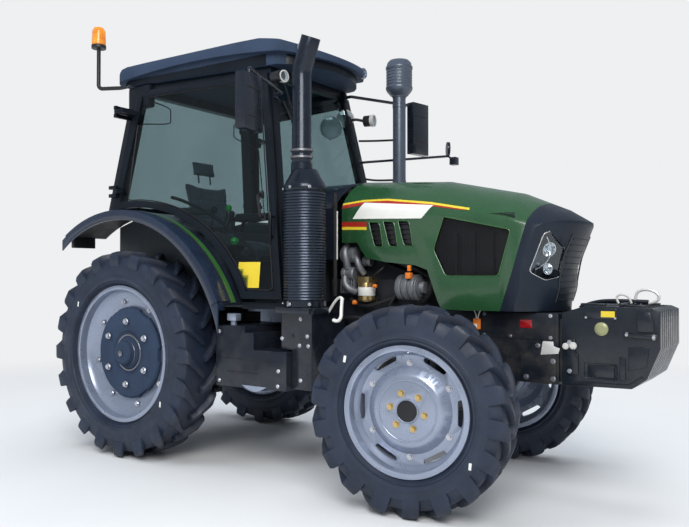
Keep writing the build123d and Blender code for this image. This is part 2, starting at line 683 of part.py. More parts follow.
def make_cab_floor():
    z0 = CAB_FLOOR_Z
    wall_y = FENDER_IN_Y - 8 - SEAT_GAP
    tip = front_x(z0) - 8 - PILLAR
    tip_y = side_y(tip, z0 + 40) - FRAME_IN - SEAT_GAP
    step = 940
    return plate_xy([(REAR_WALL_X, -wall_y), (step, -wall_y), (step, -tip_y), (tip, -tip_y), (tip, tip_y), (step, tip_y),
                     (step, wall_y), (REAR_WALL_X, wall_y)], z0, z0 + 40)


def make_cab_panels():
    """The arches' inner walls, the rear wall in two and the panel under the windscreen."""
    z0 = CAB_FLOOR_Z
    wall_y = FENDER_IN_Y - 8
    radius = FENDER_R - FENDER_SHEET - SEAT_GAP
    wall = [(ARCH_REAR_X, 1150), (-320, z0), (858, z0)]
    wall += [arc_point(radius, x) for x in (858, 700, 500, 250, 0, -200, ARCH_REAR_X)]
    panels = [plate_xz(wall, *sorted((s * wall_y, s * FENDER_IN_Y))) for s in (1, -1)]
    inner = wall_y - SEAT_GAP
    low = z0 + 40 + SEAT_GAP
    panels.append(block(REAR_WALL_X, REAR_WALL_X + 12, -inner, inner, low, SHELF_Z))
    panels.append(plate_xz([(rear_x(SHELF_Z), SHELF_Z + SEAT_GAP), (rear_x(SHELF_Z) + 12, SHELF_Z + SEAT_GAP),
                            (rear_x(REAR_SILL_Z) + 12, REAR_SILL_Z - SEAT_GAP), (rear_x(REAR_SILL_Z), REAR_SILL_Z - SEAT_GAP)],
                           -inner, inner))
    z1 = WINDSCREEN_LOW
    half = side_y(front_x(z1), z1) - FRAME_IN - SEAT_GAP
    back = -GLASS_INSET - 16
    panels.append(plate_xz([(front_x(low) + back, low), (front_x(low) - GLASS_INSET, low), (front_x(z1) - GLASS_INSET, z1),
                            (front_x(z1) + back, z1)], -half, half))
    return panels


def make_cab_frame():
    z0, z1 = CAB_FLOOR_Z, CAB_FRAME_TOP_Z
    pieces = []
    front = [(front_x(z0) - 5, z0), (front_x(z1) - 5, z1), (front_x(z1) - 5 - PILLAR, z1), (front_x(z0) - 5 - PILLAR, z0)]
    low = REAR_SILL_Z - 60
    rear = [(rear_x(low), low), (rear_x(low) + PILLAR, low), (rear_x(z1) + PILLAR, z1), (rear_x(z1), z1)]
    rail = [(rear_x(z1 - 60), z1 - 60), (front_x(z1 - 60) - 5, z1 - 60), (front_x(z1) - 5, z1), (rear_x(z1), z1)]
    sill = [(874, z0), (front_x(z0) - 5, z0), (front_x(z0 + 40) - 5, z0 + 40), (874, z0 + 40)]
    over = fender_disc(FENDER_R + SEAT_GAP)
    for outline in (front, rear, rail, sill):
        pieces += both_sides(side_plate(outline, FRAME_DEPTH, PILLAR_DEEP) - over)
    y_front = side_y(front_x(z1), z1) - FRAME_IN
    y_rear = side_y(rear_x(z1), z1) - FRAME_IN
    pieces.append(block(front_x(z1) - 5 - PILLAR, front_x(z1) - 5, -y_front, y_front, z1 - 60, z1))
    pieces.append(block(rear_x(z1), rear_x(z1) + PILLAR, -y_rear, y_rear, z1 - 60, z1))
    tip = front_x(z0) - 8
    tip_y = side_y(tip, z0) - FRAME_IN
    pieces.append(block(tip - PILLAR + SEAT_GAP, tip, -tip_y, tip_y, z0, z0 + 40))
    ring = rear_ring(REAR_SILL_Z, z1 - 8, 0, REAR_BULGE, REAR_BULGE) - rear_ring(REAR_SILL_Z, z1 - 8, 40, REAR_BULGE + 5, REAR_BULGE + 10)
    pieces.append(ring - over)
    return joined(pieces)


WINDSCREEN_LOW = 1600.0
GLASS_T = 6.0


def make_cab_glass():
    """Windscreen and rear window."""
    screen = []
    for z in (WINDSCREEN_LOW + SEAT_GAP, CAB_FRAME_TOP_Z - 60 - SEAT_GAP):
        screen.append((front_x(z) - GLASS_INSET, side_y(front_x(z), z) - FRAME_IN - SEAT_GAP, z))
    (xa, ya, za), (xb, yb, zb) = screen
    front = extrude(face_of([(xa, -ya, za), (xa, ya, za), (xb, yb, zb), (xb, -yb, zb)]), amount=GLASS_T, dir=(-1, 0, 0))
    rear = rear_ring(REAR_SILL_Z, CAB_FRAME_TOP_Z - 8, 40 + SEAT_GAP, REAR_BULGE - 8, GLASS_T)
    return front, rear


DOOR_EDGE = 46.0
DOOR_TOP_Z = 2490.0
DOOR_LOW_Z = 1062.0


def door_outline(inset):
    low, top = DOOR_LOW_Z + inset, DOOR_TOP_Z - inset
    radius = FENDER_R + DOOR_OVER_FENDER + inset
    rear = -175 + inset
    front_low, front_top = front_x(low) - 12 - inset, front_x(top) - 12 - inset
    meet = FENDER_C[0] + sqrt(radius ** 2 - (low - FENDER_C[1]) ** 2)
    return (front_low, low), (front_top, top), (-90 + inset, top), arc_point(radius, rear), arc_point(radius, 500), (meet, low)


def door_solid(inset, depth, thick):
    """A door-shaped plate in the side plane."""
    pts = door_outline(inset)
    a, b, c, d, e, f = [(x, 0, z) for x, z in pts]
    flat = Face(Wire([Line(a, b).edge(), Line(b, c).edge(), Line(c, d).edge(), *ThreePointArc(d, e, f).edges(),
                      Line(f, a).edge()]))
    column = extrude(flat, amount=1200, dir=(0, 1, 0))
    big = [(-400, 900), (1500, 900), (1500, 2700), (-400, 2700)]
    return column & side_plate(big, depth, thick)


def door_rear_x(z):
    """The door's rear edge at a height."""
    foot, top = door_outline(0)[3], door_outline(0)[2]
    return foot[0] + (top[0] - foot[0]) * (z - foot[1]) / (top[1] - foot[1])


HINGE_X = -150.0
HINGE_OUT = 24.0
HINGE_ZS = (1780.0, 2330.0)
HINGE_R = 14.0
HINGE_Y = side_y(HINGE_X, HINGE_ZS[0]) + HINGE_OUT


def make_door():
    """Left door's frame, hinge leaves and handle."""
    frame = door_solid(0, 0, DOOR_THICK) - door_solid(DOOR_EDGE, -5, DOOR_THICK + 10)
    pieces = [frame]
    for z in HINGE_ZS:
        edge = door_rear_x(z)
        y = side_y(edge + 20, z)
        pieces.append(block(HINGE_X - 10, edge + 38, y - 12, HINGE_Y + 10, z - 14, z + 14))
    grip_x, grip_y = front_x(1500) - 35, side_y(front_x(1500) - 35, 1500) + 30
    pieces.append(rod((grip_x, grip_y, 1420), (grip_x, grip_y, 1580), 10))
    for z in (1440, 1560):
        pieces.append(rod((grip_x, side_y(grip_x, z) - 10, z), (grip_x, grip_y, z), 8))
    out = joined(pieces)
    for z in HINGE_ZS:
        out = out - rod((HINGE_X, HINGE_Y, z - 20), (HINGE_X, HINGE_Y, z + 20), 7 + 0.05)
    return out


def make_door_glass():
    return door_solid(DOOR_EDGE + SEAT_GAP, 9, GLASS_T)


def make_hinge_pins():
    """Left hinge pins and the brackets that carry them on the rear pillar."""
    pieces = []
    depth = DOOR_THICK + DOOR_GAP
    for z in HINGE_ZS:
        pieces.append(rod((HINGE_X, HINGE_Y, z - 40), (HINGE_X, HINGE_Y, z + 40), 7))
        for up in (1, -1):
            z0, z1 = sorted((z + up * 16, z + up * 40))
            x = rear_x(z)
            pieces.append(block(x - 14, HINGE_X + 10, HINGE_Y - 10, HINGE_Y + 10, z0, z1))
            pieces.append(block(x - 14, x + 4, side_y(x, z) - depth - 30, HINGE_Y + 10, z0, z1))
    return pieces


ROOF_LOW_Z = CAB_FRAME_TOP_Z + SEAT_GAP
ROOF_TOP_Z = 2695.0
ROOF_OVER = 42.0
ROOF_REAR_X = -290.0


def roof_plan(inset, z0, z1):
    corner, tip = 1080.0 - inset, 1262.0 - inset
    y_rear = side_y(ROOF_REAR_X, CAB_FRAME_TOP_Z) + ROOF_OVER - 10 - inset
    y_front = side_y(corner, CAB_FRAME_TOP_Z) + ROOF_OVER - inset
    rear = ROOF_REAR_X + inset
    plan = Polyline((corner, -y_front, z0), (rear, -y_rear, z0), (rear, y_rear, z0), (corner, y_front, z0))
    bow = ThreePointArc((corner, y_front, z0), (tip, 0, z0), (corner, -y_front, z0))
    slab = extrude(Face(Wire([*plan.edges(), *bow.edges()])), amount=z1 - z0, dir=(0, 0, 1))
    return fillet(slab.edges().filter_by(Axis.Z), 80)


def make_roof():
    """A thin-edged cap, thickest in its middle, over a set-in base."""
    y = 800
    over = Polyline((-300, y, 2556), (-300, y, 2592), (-210, y, 2652), (0, y, 2704))
    top = ThreePointArc((0, y, 2704), (500, y, 2738), (1086, y, 2679))
    nose = Polyline((1086, y, 2679), (1270, y, 2626), (1270, y, 2588))
    under = ThreePointArc((1270, y, 2588), (465, y, 2629), (-300, y, 2556))
    side = Face(Wire([*over.edges(), *top.edges(), *nose.edges(), *under.edges()]))
    cap = roof_plan(0, CAB_FRAME_TOP_Z - 40, ROOF_TOP_Z + 105) & extrude(side, amount=1600, dir=(0, -1, 0))
    cap = cap & plate_yz([(-700, 2500), (700, 2500), (700, 2640), (618, 2672), (520, 2702), (330, 2726), (150, 2734), (-150, 2734),
                          (-330, 2726), (-520, 2702), (-618, 2672), (-700, 2640)], -400, 1400)
    base = roof_plan(45, ROOF_LOW_Z, 2660) & extrude(
        face_of([(-245, 700, ROOF_LOW_Z), (1225, 700, ROOF_LOW_Z), (1225, 700, 2600), (465, 700, 2650), (-245, 700, 2575)]),
        amount=1400, dir=(0, -1, 0))
    x, y, z = ROOF_LAMP_AT
    return cap + base - joined([rod((x, s * y, z), (x + 200, s * y, z), ROOF_LAMP_R) for s in (1, -1)])


# ---------------------------------------------------------------- inside the cab
def make_seat():
    base = block(100, 430, -170, 170, CAB_FLOOR_Z + 40 + SEAT_GAP, 1330)
    cushion = block(10, 510, -245, 245, 1330, 1450)
    back = bar((40, 0, 1430), (-50, 0, 1930), 110, 460)
    head = bar((-50, 0, 1930), (-75, 0, 2080), 90, 250)
    return joined([base, cushion, back, head])


WHEEL_R = 195.0


def make_dash():
    low = CAB_FLOOR_Z + 40 + SEAT_GAP
    back = -GLASS_INSET - 16 - SEAT_GAP
    column = plate_xz([(1020, low), (front_x(low) + back, low), (front_x(1590) + back, 1590), (1060, 1660), (940, 1620),
                       (930, 1500), (1010, 1380)], -230, 230)
    post = rod((985, 0, 1600), (880, 0, 1730), 32)
    ring_plane = Plane(origin=(872, 0, 1740), z_dir=(-105, 0, 130))
    ring = ring_plane * Torus(WHEEL_R - 14, 14)
    spokes = [ring_plane * Rot(0, 0, a) * Pos(WHEEL_R / 2, 0, 0) * Box(WHEEL_R - 20, 26, 12) for a in (90, 210, 330)]
    hub = ring_plane * Pos(0, 0, -10) * Cylinder(42, 40)
    return joined([column, post, ring, hub] + spokes)


# ---------------------------------------------------------------- exhaust, intake, side boxes
MUFFLER_R = 128.0
MUFFLER_LOW = 1020.0
MUFFLER_TOP = 1722.0
PIPE_R = 57.0
PIPE_BACK = 24.0              # the pipe stands behind the middle of the guard


GUARD_RINGS = 15
GUARD_SIDES = 16


def make_muffler():
    """The louvred guard round the silencer, its dome and the pipe's neck."""
    x, y = EXHAUST_X, -EXHAUST_Y
    low, high = MUFFLER_LOW + 40, MUFFLER_TOP - 30
    pitch = (high - low) / GUARD_RINGS
    profile = [(1, MUFFLER_LOW), (MUFFLER_R - 8, MUFFLER_LOW), (MUFFLER_R - 8, low)]
    for i in range(GUARD_RINGS):
        profile += [(MUFFLER_R, low + i * pitch + 4), (MUFFLER_R - 9, low + (i + 1) * pitch)]
    profile += [(MUFFLER_R, high + 4), (MUFFLER_R, MUFFLER_TOP), (MUFFLER_R - 8, MUFFLER_TOP + 28), (80, MUFFLER_TOP + 95),
                (PIPE_R + 14, MUFFLER_TOP + 100), (1, MUFFLER_TOP + 100)]
    guard = Rot(90, 0, 0) * turned_flat(profile, GUARD_SIDES, pi / GUARD_SIDES)
    guard = Pos(x, y, 0) * guard + rod((x, y, MUFFLER_LOW), (x, y, MUFFLER_TOP + 90), 20)
    neck = rod((x - PIPE_BACK, y, MUFFLER_TOP + 60), (x - PIPE_BACK, y, MUFFLER_TOP + 140), PIPE_R + 6)
    return guard + neck


def make_exhaust_pipe():
    x, y = EXHAUST_X - PIPE_BACK, -EXHAUST_Y
    z0 = MUFFLER_TOP + 140 + SEAT_GAP
    way = [(x, y, z0), (x, y, 2400), (x + 78, y - 12, 2588)]
    pipe = bent_tube(way, 150, PIPE_R)
    bore = rod((x + 58, y - 9, 2540), (x + 86, y - 13, 2607), PIPE_R - 6)
    bands = [rod((x, y, z), (x, y, z + 18), PIPE_R + 6) for z in (1885, 1925)]
    return joined([pipe] + bands) - bore


def make_mast():
    x, y = MAST_X, MAST_Y
    pole = rod((x, y, 1150), (x, y, 2480), 46)
    drum = Pos(x, y, 2480) * revolve(face_of([(0, 0, 0), (66, 0, 0), (96, 0, 40), (96, 0, 200), (80, 0, 260), (0, 0, 270)]), axis=Axis.Z)
    foot = block(x - 70, x + 70, 380, y + 40, 1120, 1150)
    brace = block(x - 30, x + 30, 200 + SEAT_GAP, 400, 1120, 1150)
    return joined([pole, drum, foot, brace])


TANK_FACE_Y = 700.0


def make_tank():
    """The stepped black tank under the right-hand door, with the box beside it."""
    outline = [(770, 525), (1330, 535), (1330, 760), (1076, 760), (1076, 860), (1003, 860), (1003, 900), (770, 895)]
    tank = plate_xz(outline, -TANK_FACE_Y, -330)
    hanger = [block(x - 30, x + 30, -340, -175 - SEAT_GAP, 700, 760) for x in (850, 1100)]
    return joined([tank] + hanger)


def make_battery_box():
    outline = [(1255, 770), (1335, 770), (1335, 545), (1480, 545), (1480, 985), (1255, 985)]
    box = plate_xz(outline, -655, -330)
    plinth = block(1262, 1508, -EXHAUST_Y - 122, -EXHAUST_Y + 125, 985, MUFFLER_LOW - SEAT_GAP)
    arm = block(1300, 1420, -340, -200 - SEAT_GAP, 760, 940)
    return joined([box, plinth, arm])


def make_left_steps():
    treads = [block(820, 1240, 470, 700, z, z + 30) for z in (430, 690)]
    cheeks = [block(x, x + 12, 480, 690, 430, 990) for x in (812, 1236)]
    tank = block(770, 1400, 330, 470, 520, 960)
    hanger = [block(x - 30, x + 30, 175 + SEAT_GAP, 340, 700, 760) for x in (850, 1100)]
    return joined([tank] + treads + cheeks + hanger)


# ---------------------------------------------------------------- front weights
WEIGHT_HALF_W = 229.0


WEIGHT_SLICES = 10
WEIGHT_GROOVE = 5.0


WEIGHTS_REAR_X = FRAME_FRONT_X + 15
WEIGHT_STRETCH = (FRONT_REACH - WEIGHTS_REAR_X) / 477     # the castings' drawn length is 477


def weight_x(along):
    """A place along a weight, from its rear face, on the drawn length."""
    return WEIGHTS_REAR_X + along * WEIGHT_STRETCH


def weight_side(inset):
    i = inset
    return [(weight_x(0) + i, 640 + i), (weight_x(345) - i, 648 + i), (weight_x(415) - i, 700 + i), (weight_x(477) - i, 850 + i),
            (weight_x(477) - i, 1030 - i), (weight_x(440) - i, 1046 - i), (weight_x(125), 1052 - i), (weight_x(0) + i, 1010 - i)]


def make_weights():
    """Ten slabs hung side by side, with the bar that locks them."""
    slab = 2 * WEIGHT_HALF_W / WEIGHT_SLICES
    pieces = [plate_xz(weight_side(14), -WEIGHT_HALF_W + 2, WEIGHT_HALF_W - 2)]
    for i in range(WEIGHT_SLICES):
        y = -WEIGHT_HALF_W + i * slab
        a = 0 if i == 0 else WEIGHT_GROOVE / 2
        b = 0 if i == WEIGHT_SLICES - 1 else WEIGHT_GROOVE / 2
        pieces.append(plate_xz(weight_side(0), y + a, y + slab - b))
    stack = joined(pieces)
    for s in (1, -1):
        recess = [(weight_x(114), 686), (weight_x(276), 686), (weight_x(276), 763), (weight_x(114), 763)]
        stack = stack - plate_xz(recess, *sorted((s * (WEIGHT_HALF_W - 8), s * (WEIGHT_HALF_W + 8))))
    return stack


def make_weight_carrier():
    hook = block(FRAME_FRONT_X + SEAT_GAP, WEIGHTS_REAR_X - SEAT_GAP, -220, 220, 660, 980)
    return hook


# ---------------------------------------------------------------- lamps, mirrors, beacon
MIRROR_OUT_Y = 1050.0


def pillar_front(z, side):
    """A point on the front face of a front pillar."""
    x = front_x(z) - 5
    return x + SEAT_GAP, side * (side_y(x, z) - FRAME_DEPTH - PILLAR_DEEP / 2), z


def foot_plate(z, side):
    """A small plate that lies against a front pillar."""
    y = pillar_front(z, side)[1]
    outline = [(pillar_front(z - 30, side)[0], z - 30), (pillar_front(z + 30, side)[0], z + 30),
               (pillar_front(z + 30, side)[0] + 10, z + 30), (pillar_front(z - 30, side)[0] + 10, z - 30)]
    return plate_xz(outline, y - 20, y + 20)


MIRROR_HEADS = (
    # side, height of the middle, distance forward, height of the head
    (-1, 2162.0, 1272.0, 312.0),
    (1, 2320.0, 1272.0, 390.0),
)
ARM_FORWARD = 56.0            # how far the arms stand in front of the pillar, clear of the doors


def make_mirrors():
    out = []
    for s, z, x, tall in MIRROR_HEADS:
        head_y = MIRROR_OUT_Y - 95
        head = Pos(x, s * head_y, z) * Rot(0, 0, -s * 10) * Box(60, 180, tall)
        top = min(z + tall / 2 + 38, 2496)
        foot = pillar_front(top, s)
        arm = foot_plate(top, s) + bent_tube([(foot[0] + 6, foot[1], top), (foot[0] + ARM_FORWARD, foot[1], top), (x, s * head_y, top), (x, s * head_y, z + tall / 2 - 66)], 16, 11)
        out += [head + arm]
    return out


def make_close_mirror():
    """The small round mirror and the square lamp on a rod ahead of the left pillar."""
    z = 2020.0
    foot = pillar_front(z, 1)
    start, knee, end = (foot[0] + 6, foot[1], z), (foot[0] + ARM_FORWARD, foot[1], z), (1530, 950, 2092)
    arm = foot_plate(z, 1) + bent_tube([start, knee, end], 10, 9)
    disc = rod((1522, 944, 2145), (1538, 956, 2145), 52)
    stay = rod((1530, 950, 2092), (1580, 950, 2056), 7)
    lamp = block(1556, 1604, 922, 978, 2022, 2078)
    return joined([arm, disc, stay, lamp])


ROOF_LAMP_AT = (1118.0, 350.0, 2634.0)
ROOF_LAMP_R = 30.0


def make_roof_lamps():
    x, y, z = ROOF_LAMP_AT
    return both_sides(rod((x + SEAT_GAP, y, z), (x + 48, y, z), ROOF_LAMP_R - SEAT_GAP))


def make_rear_lamps():
    """Lamp boxes on the rear edges of the fenders."""
    x, z = arc_point(FENDER_R, FENDER_REAR_X)
    box = block(x - SEAT_GAP - 40, x - SEAT_GAP, 600, 780, z - 80, z)
    return both_sides(chamfer(box.faces().sort_by(Axis.X)[0].edges(), 8))


PILLAR_LAMPS = (
    # side, height, radius
    (-1, 2436.0, 34.0),
    (1, 2330.0, 40.0),
)


def make_lamps():
    lamps = []
    for s, z, r in PILLAR_LAMPS:
        foot = pillar_front(z, s)
        x, y = foot[0] + ARM_FORWARD + 20, s * (abs(foot[1]) + 90)
        stem = foot_plate(z, s) + bent_tube([(foot[0] + 6, foot[1], z), (foot[0] + ARM_FORWARD, foot[1], z), (x, y, z)], 10, 10)
        cup = rod((x - 5, y, z), (x + 65, y + s * 12, z), r)
        lamps.append(stem + cup)
    return lamps


BEACON_X, BEACON_Y = -512.0, -616.0


BEACON_Z = 2884.0


def make_beacon():
    z, root = BEACON_Z, 2566.0
    pole = bent_tube([(ROOF_REAR_X - SEAT_GAP, BEACON_Y + 76, root), (ROOF_REAR_X - 70, BEACON_Y + 76, root),
                      (BEACON_X, BEACON_Y, root), (BEACON_X, BEACON_Y, z - 24)], 30, 14)
    return pole + rod((BEACON_X, BEACON_Y, z - 24), (BEACON_X, BEACON_Y, z), 52)


def make_beacon_lens():
    x, y, z = BEACON_X, BEACON_Y, BEACON_Z + SEAT_GAP
    dome = revolve(face_of([(0, 0, 0), (50, 0, 0), (46, 0, 105), (34, 0, 128), (0, 0, 134)]), axis=Axis.Z)
    return Pos(x, y, z) * dome


def make_headlamps():
    """Lamp units in the nose's corner openings."""
    outline = plate_xz(HEADLAMP, 60, HOOD_HALF_W + 40)
    front = hood_form(1.5) - hood_form(HOOD_SKIN + SEAT_GAP)
    lens = front & plate_xz(HEADLAMP_LENS, 60, HOOD_HALF_W + 40)
    body = (hood_form(HOOD_SKIN + SEAT_GAP) - hood_form(40)) & outline
    return both_sides(lens + body)


# ---------------------------------------------------------------- rear linkage
LINK_PIVOT = (-120.0, 225.0, 430.0)
LINK_END_X = -900.0
LINK_END_Y = 395.0
BALL_R = 45.0
BALL_BORE = 14.35
ROCK_X, ROCK_Z = -200.0, 935.0
ROCK_SHAFT_R = 34.0
ARM_LEN = 280.0
LIFT_Y = 295.0
LIFT_BOTTOM_X = ROCK_X - ARM_LEN


def make_lower_links():
    links = []
    for s in (1, -1):
        x, y, z = LINK_PIVOT
        beam = bar((x, s * y, z), (LINK_END_X, s * LINK_END_Y, z), 62, 24)
        ball = rod((LINK_END_X, s * (LINK_END_Y - 22), z), (LINK_END_X, s * (LINK_END_Y + 22), z), BALL_R)
        eye = rod((x, s * (y - 18), z), (x, s * (y + 18), z), 38)
        hole = rod((LINK_END_X, s * (LINK_END_Y - 40), z), (LINK_END_X, s * (LINK_END_Y + 40), z), BALL_BORE)
        pin_hole = rod((x, s * (y - 40), z), (x, s * (y + 40), z), 14.05)
        links.append(beam + ball + eye - hole - pin_hole)
    return links


def make_link_brackets():
    out = []
    for s in (1, -1):
        x, y, z = LINK_PIVOT
        pin = rod((x, s * (y - 45), z), (x, s * (y + 45), z), 14)
        ears = [block(x - 42, x + 42, s * y + t - 6, s * y + t + 6, z - 40, z + 70) for t in (-31, 31)]
        top = block(x - 42, x + 42, s * y - 37, s * y + 37, z + 60, z + 76)
        out += [pin, top] + ears
    return out


def make_lift_arms():
    shaft = rod((ROCK_X, -LIFT_Y - 20, ROCK_Z), (ROCK_X, LIFT_Y + 20, ROCK_Z), ROCK_SHAFT_R)
    arms = []
    for s in (1, -1):
        arm = bar((ROCK_X, s * LIFT_Y, ROCK_Z), (LIFT_BOTTOM_X, s * LIFT_Y, ROCK_Z), 62, 24)
        arms += [arm, rod((LIFT_BOTTOM_X, s * (LIFT_Y - 34), ROCK_Z), (LIFT_BOTTOM_X, s * (LIFT_Y + 12), ROCK_Z), 13)]
    return joined([shaft] + arms)


def make_lift_rods():
    rods = []
    for s in (1, -1):
        y = s * (LIFT_Y - 26)
        top = rod((LIFT_BOTTOM_X, y - 10, ROCK_Z), (LIFT_BOTTOM_X, y + 10, ROCK_Z), 30)
        body = rod((LIFT_BOTTOM_X, y, ROCK_Z - 20), (LIFT_BOTTOM_X, y, 500), 10)
        hole = rod((LIFT_BOTTOM_X, y - 20, ROCK_Z), (LIFT_BOTTOM_X, y + 20, ROCK_Z), 13.05)
        rods.append(top + body - hole)
    return rods


def make_drawbar():
    beam = block(-800, 100, -42, 42, 330, 366)
    hanger = block(-60, 60, -60, 60, 366 + SEAT_GAP, 480 - SEAT_GAP)
    hole = rod((-750, 0, 300), (-750, 0, 400), 16.5)
    return [beam - hole, hanger]


TOP_LINK_FOOT = (-300.0, 0.0, 880.0)
TOP_LINK_END = (-475.0, 0.0, 1290.0)


def make_top_link():
    (xa, ya, za), (xb, yb, zb) = TOP_LINK_FOOT, TOP_LINK_END
    tube = rod(TOP_LINK_FOOT, TOP_LINK_END, 20)
    sleeve = rod((xa + (xb - xa) * 0.25, 0, za + (zb - za) * 0.25), (xa + (xb - xa) * 0.75, 0, za + (zb - za) * 0.75), 26)
    eye = rod((xa, -25, za), (xa, 25, za), 30)
    free = rod((xb, -25, zb), (xb, 25, zb), 34)
    hole = rod((xb, -40, zb), (xb, 40, zb), 12.85)
    return joined([tube, sleeve, eye, free]) - hole


def make_hitch_frame():
    """Top link bracket, rockshaft housing and power take-off stub on the rear housing."""
    bearing = block(-245, -150, -170, 170, 880, 985)
    bracket = block(-330, -240, -45, -25 - SEAT_GAP, 850, 910) + block(-330, -240, 25 + SEAT_GAP, 45, 850, 910)
    stub = rod((-240, 0, 600), (-330, 0, 600), 17.4)
    return joined([bearing, bracket, stub])


# ---------------------------------------------------------------- write the nodes
def main():
    os.makedirs("parts", exist_ok=True)
    rear_tyre, rear_rim, rear_plate = make_tyre("rear"), make_rear_rim(), make_rear_plate()
    front_tyre, front_rim = make_tyre("front"), make_front_rim()
    for name, s in SIDES:
        export(f"rear_tyre_{name}", place_rear(rear_tyre, s))
        export(f"rear_rim_{name}", place_rear(rear_rim, s))
        export(f"rear_wheel_plate_{name}", place_rear(rear_plate, s))
        export(f"front_tyre_{name}", place_front(front_tyre, s))
        export(f"front_rim_{name}", place_front(front_rim, s))
        export(f"knuckle_{name}", make_knuckle(s))
    export("steering_rod", make_steering_rod())
    bore = rod((ROCK_X, -250, ROCK_Z), (ROCK_X, 250, ROCK_Z), ROCK_SHAFT_R + 0.05)
    export("gearbox", joined([make_gearbox(), make_hitch_frame()] + make_link_brackets()) - bore)
    export("engine", make_engine())
    export("fuel_filter", make_fuel_filter())
    export("alternator", make_alternator())
    export("front_frame", make_front_frame())
    export("front_axle", make_front_axle())
    export("hood", make_hood())
    export("hood_nose", make_hood_nose())
    export("hood_grilles", make_hood_grilles())
    export("headlamps", make_headlamps())
    export("cowl", make_cowl())
    frame = make_cab_frame()
    for pin in make_hinge_pins():
        for piece in both_sides(pin):
            frame = frame + piece
    export("cab_frame", frame)
    export("cab_floor", make_cab_floor())
    export("cab_panels", make_cab_panels())
    export("cab_glass", make_cab_glass())
    export("roof", make_roof())
    door, glass = make_door(), make_door_glass()
    export("door_left", door)
    export("door_right", mirror(door, about=Plane.XZ))
    export("door_glass_left", glass)
    export("door_glass_right", mirror(glass, about=Plane.XZ))
    export("fenders", both_sides(make_fender()))
    export("fender_lips", both_sides(make_lip()))
    export("seat", make_seat())
    export("dash", make_dash())
    export("muffler", make_muffler())
    export("exhaust_pipe", make_exhaust_pipe())
    export("intake_mast", make_mast())
    export("fuel_tank", make_tank())
    export("battery_box", make_battery_box())
    export("left_steps", make_left_steps())
    export("weights", make_weights())
    export("weight_carrier", make_weight_carrier())
    export("mirrors", make_mirrors() + [make_close_mirror()])
    export("lamps", make_lamps() + make_roof_lamps())
    export("rear_lamps", make_rear_lamps())
    export("beacon", make_beacon())
    export("beacon_lens", make_beacon_lens())
    export("lower_links", make_lower_links())
    export("lift_arms", make_lift_arms())
    export("lift_rods", make_lift_rods())
    export("drawbar", make_drawbar())
    export("top_link", make_top_link())


main()
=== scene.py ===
"""Looks of a four-wheel-drive farm tractor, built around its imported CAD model.  Metres throughout."""

import json
import math

import bmesh
import bpy
from mathutils import Matrix, Vector
from mathutils.bvhtree import BVHTree

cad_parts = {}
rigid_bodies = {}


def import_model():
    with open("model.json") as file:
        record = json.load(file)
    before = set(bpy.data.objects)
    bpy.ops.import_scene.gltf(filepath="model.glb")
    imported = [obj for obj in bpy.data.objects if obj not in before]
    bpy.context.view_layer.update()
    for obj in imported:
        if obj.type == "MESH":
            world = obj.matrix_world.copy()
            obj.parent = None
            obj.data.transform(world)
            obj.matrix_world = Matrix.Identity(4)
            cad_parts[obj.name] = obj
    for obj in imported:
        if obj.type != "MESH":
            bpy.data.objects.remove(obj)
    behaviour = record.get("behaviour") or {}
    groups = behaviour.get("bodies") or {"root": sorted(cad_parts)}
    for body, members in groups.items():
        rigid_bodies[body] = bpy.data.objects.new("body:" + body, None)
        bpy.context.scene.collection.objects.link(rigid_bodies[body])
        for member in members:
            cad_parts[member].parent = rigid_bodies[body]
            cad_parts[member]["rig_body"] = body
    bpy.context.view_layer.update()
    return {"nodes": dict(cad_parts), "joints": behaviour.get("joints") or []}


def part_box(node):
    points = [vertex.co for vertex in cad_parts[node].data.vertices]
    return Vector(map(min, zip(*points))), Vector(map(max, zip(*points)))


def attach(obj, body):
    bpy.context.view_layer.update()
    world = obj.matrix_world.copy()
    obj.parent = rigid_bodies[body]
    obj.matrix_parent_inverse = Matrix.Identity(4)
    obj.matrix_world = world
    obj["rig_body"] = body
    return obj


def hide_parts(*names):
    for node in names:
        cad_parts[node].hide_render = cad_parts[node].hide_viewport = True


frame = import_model()
nodes = frame["nodes"]
joints = {joint["name"]: joint for joint in frame["joints"]}

# Places are written from the rear axle's line on the ground: forward, left, up.
rear_low, rear_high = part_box("rear_rim_left")
AXLE_X = (rear_low.x + rear_high.x) / 2
SIDES = (("left", 1), ("right", -1))
BOTH = (1, -1)


def at(x, y, z):
    return Vector((x + AXLE_X, y, z))


def path(*points):
    return [at(*point) for point in points]


def placed(place, *turns):
    """A matrix that moves to a place, after turns of (axis, degrees), the last one done first."""
    matrix = Matrix.Translation(place)
    for axis, degrees in turns:
        matrix = matrix @ Matrix.Rotation(math.radians(degrees), 4, axis)
    return matrix


# ------------------------------------------------------------------ node trees
def fill(tree, node, inputs):
    """Gives each input a value, or links it to another node's output."""
    for socket, value in inputs.items():
        if isinstance(value, bpy.types.NodeSocket):
            tree.links.new(value, node.inputs[socket])
        else:
            node.inputs[socket].default_value = value
    return node


def add_node(tree, kind, inputs=None, **settings):
    node = tree.nodes.new(kind)
    for name, value in settings.items():
        setattr(node, name, value)
    return fill(tree, node, inputs or {})


def object_place(tree):
    return add_node(tree, "ShaderNodeTexCoord").outputs["Object"]


def object_noise(tree, scale, detail=3.0, roughness=0.55, stretch=(1, 1, 1)):
    grow = add_node(tree, "ShaderNodeMapping", {"Scale": stretch, "Vector": object_place(tree)})
    return add_node(tree, "ShaderNodeTexNoise", {
        "Scale": scale, "Detail": detail, "Roughness": roughness, "Vector": grow.outputs["Vector"]}).outputs["Fac"]


def ramp(tree, source, low, dark, high, light):
    """Runs from one colour to another between two values."""
    node = add_node(tree, "ShaderNodeValToRGB", {"Fac": source})
    for element, place, colour in zip(node.color_ramp.elements, (low, high), (dark, light)):
        element.position, element.color = place, (*colour, 1)
    return node.outputs["Color"]


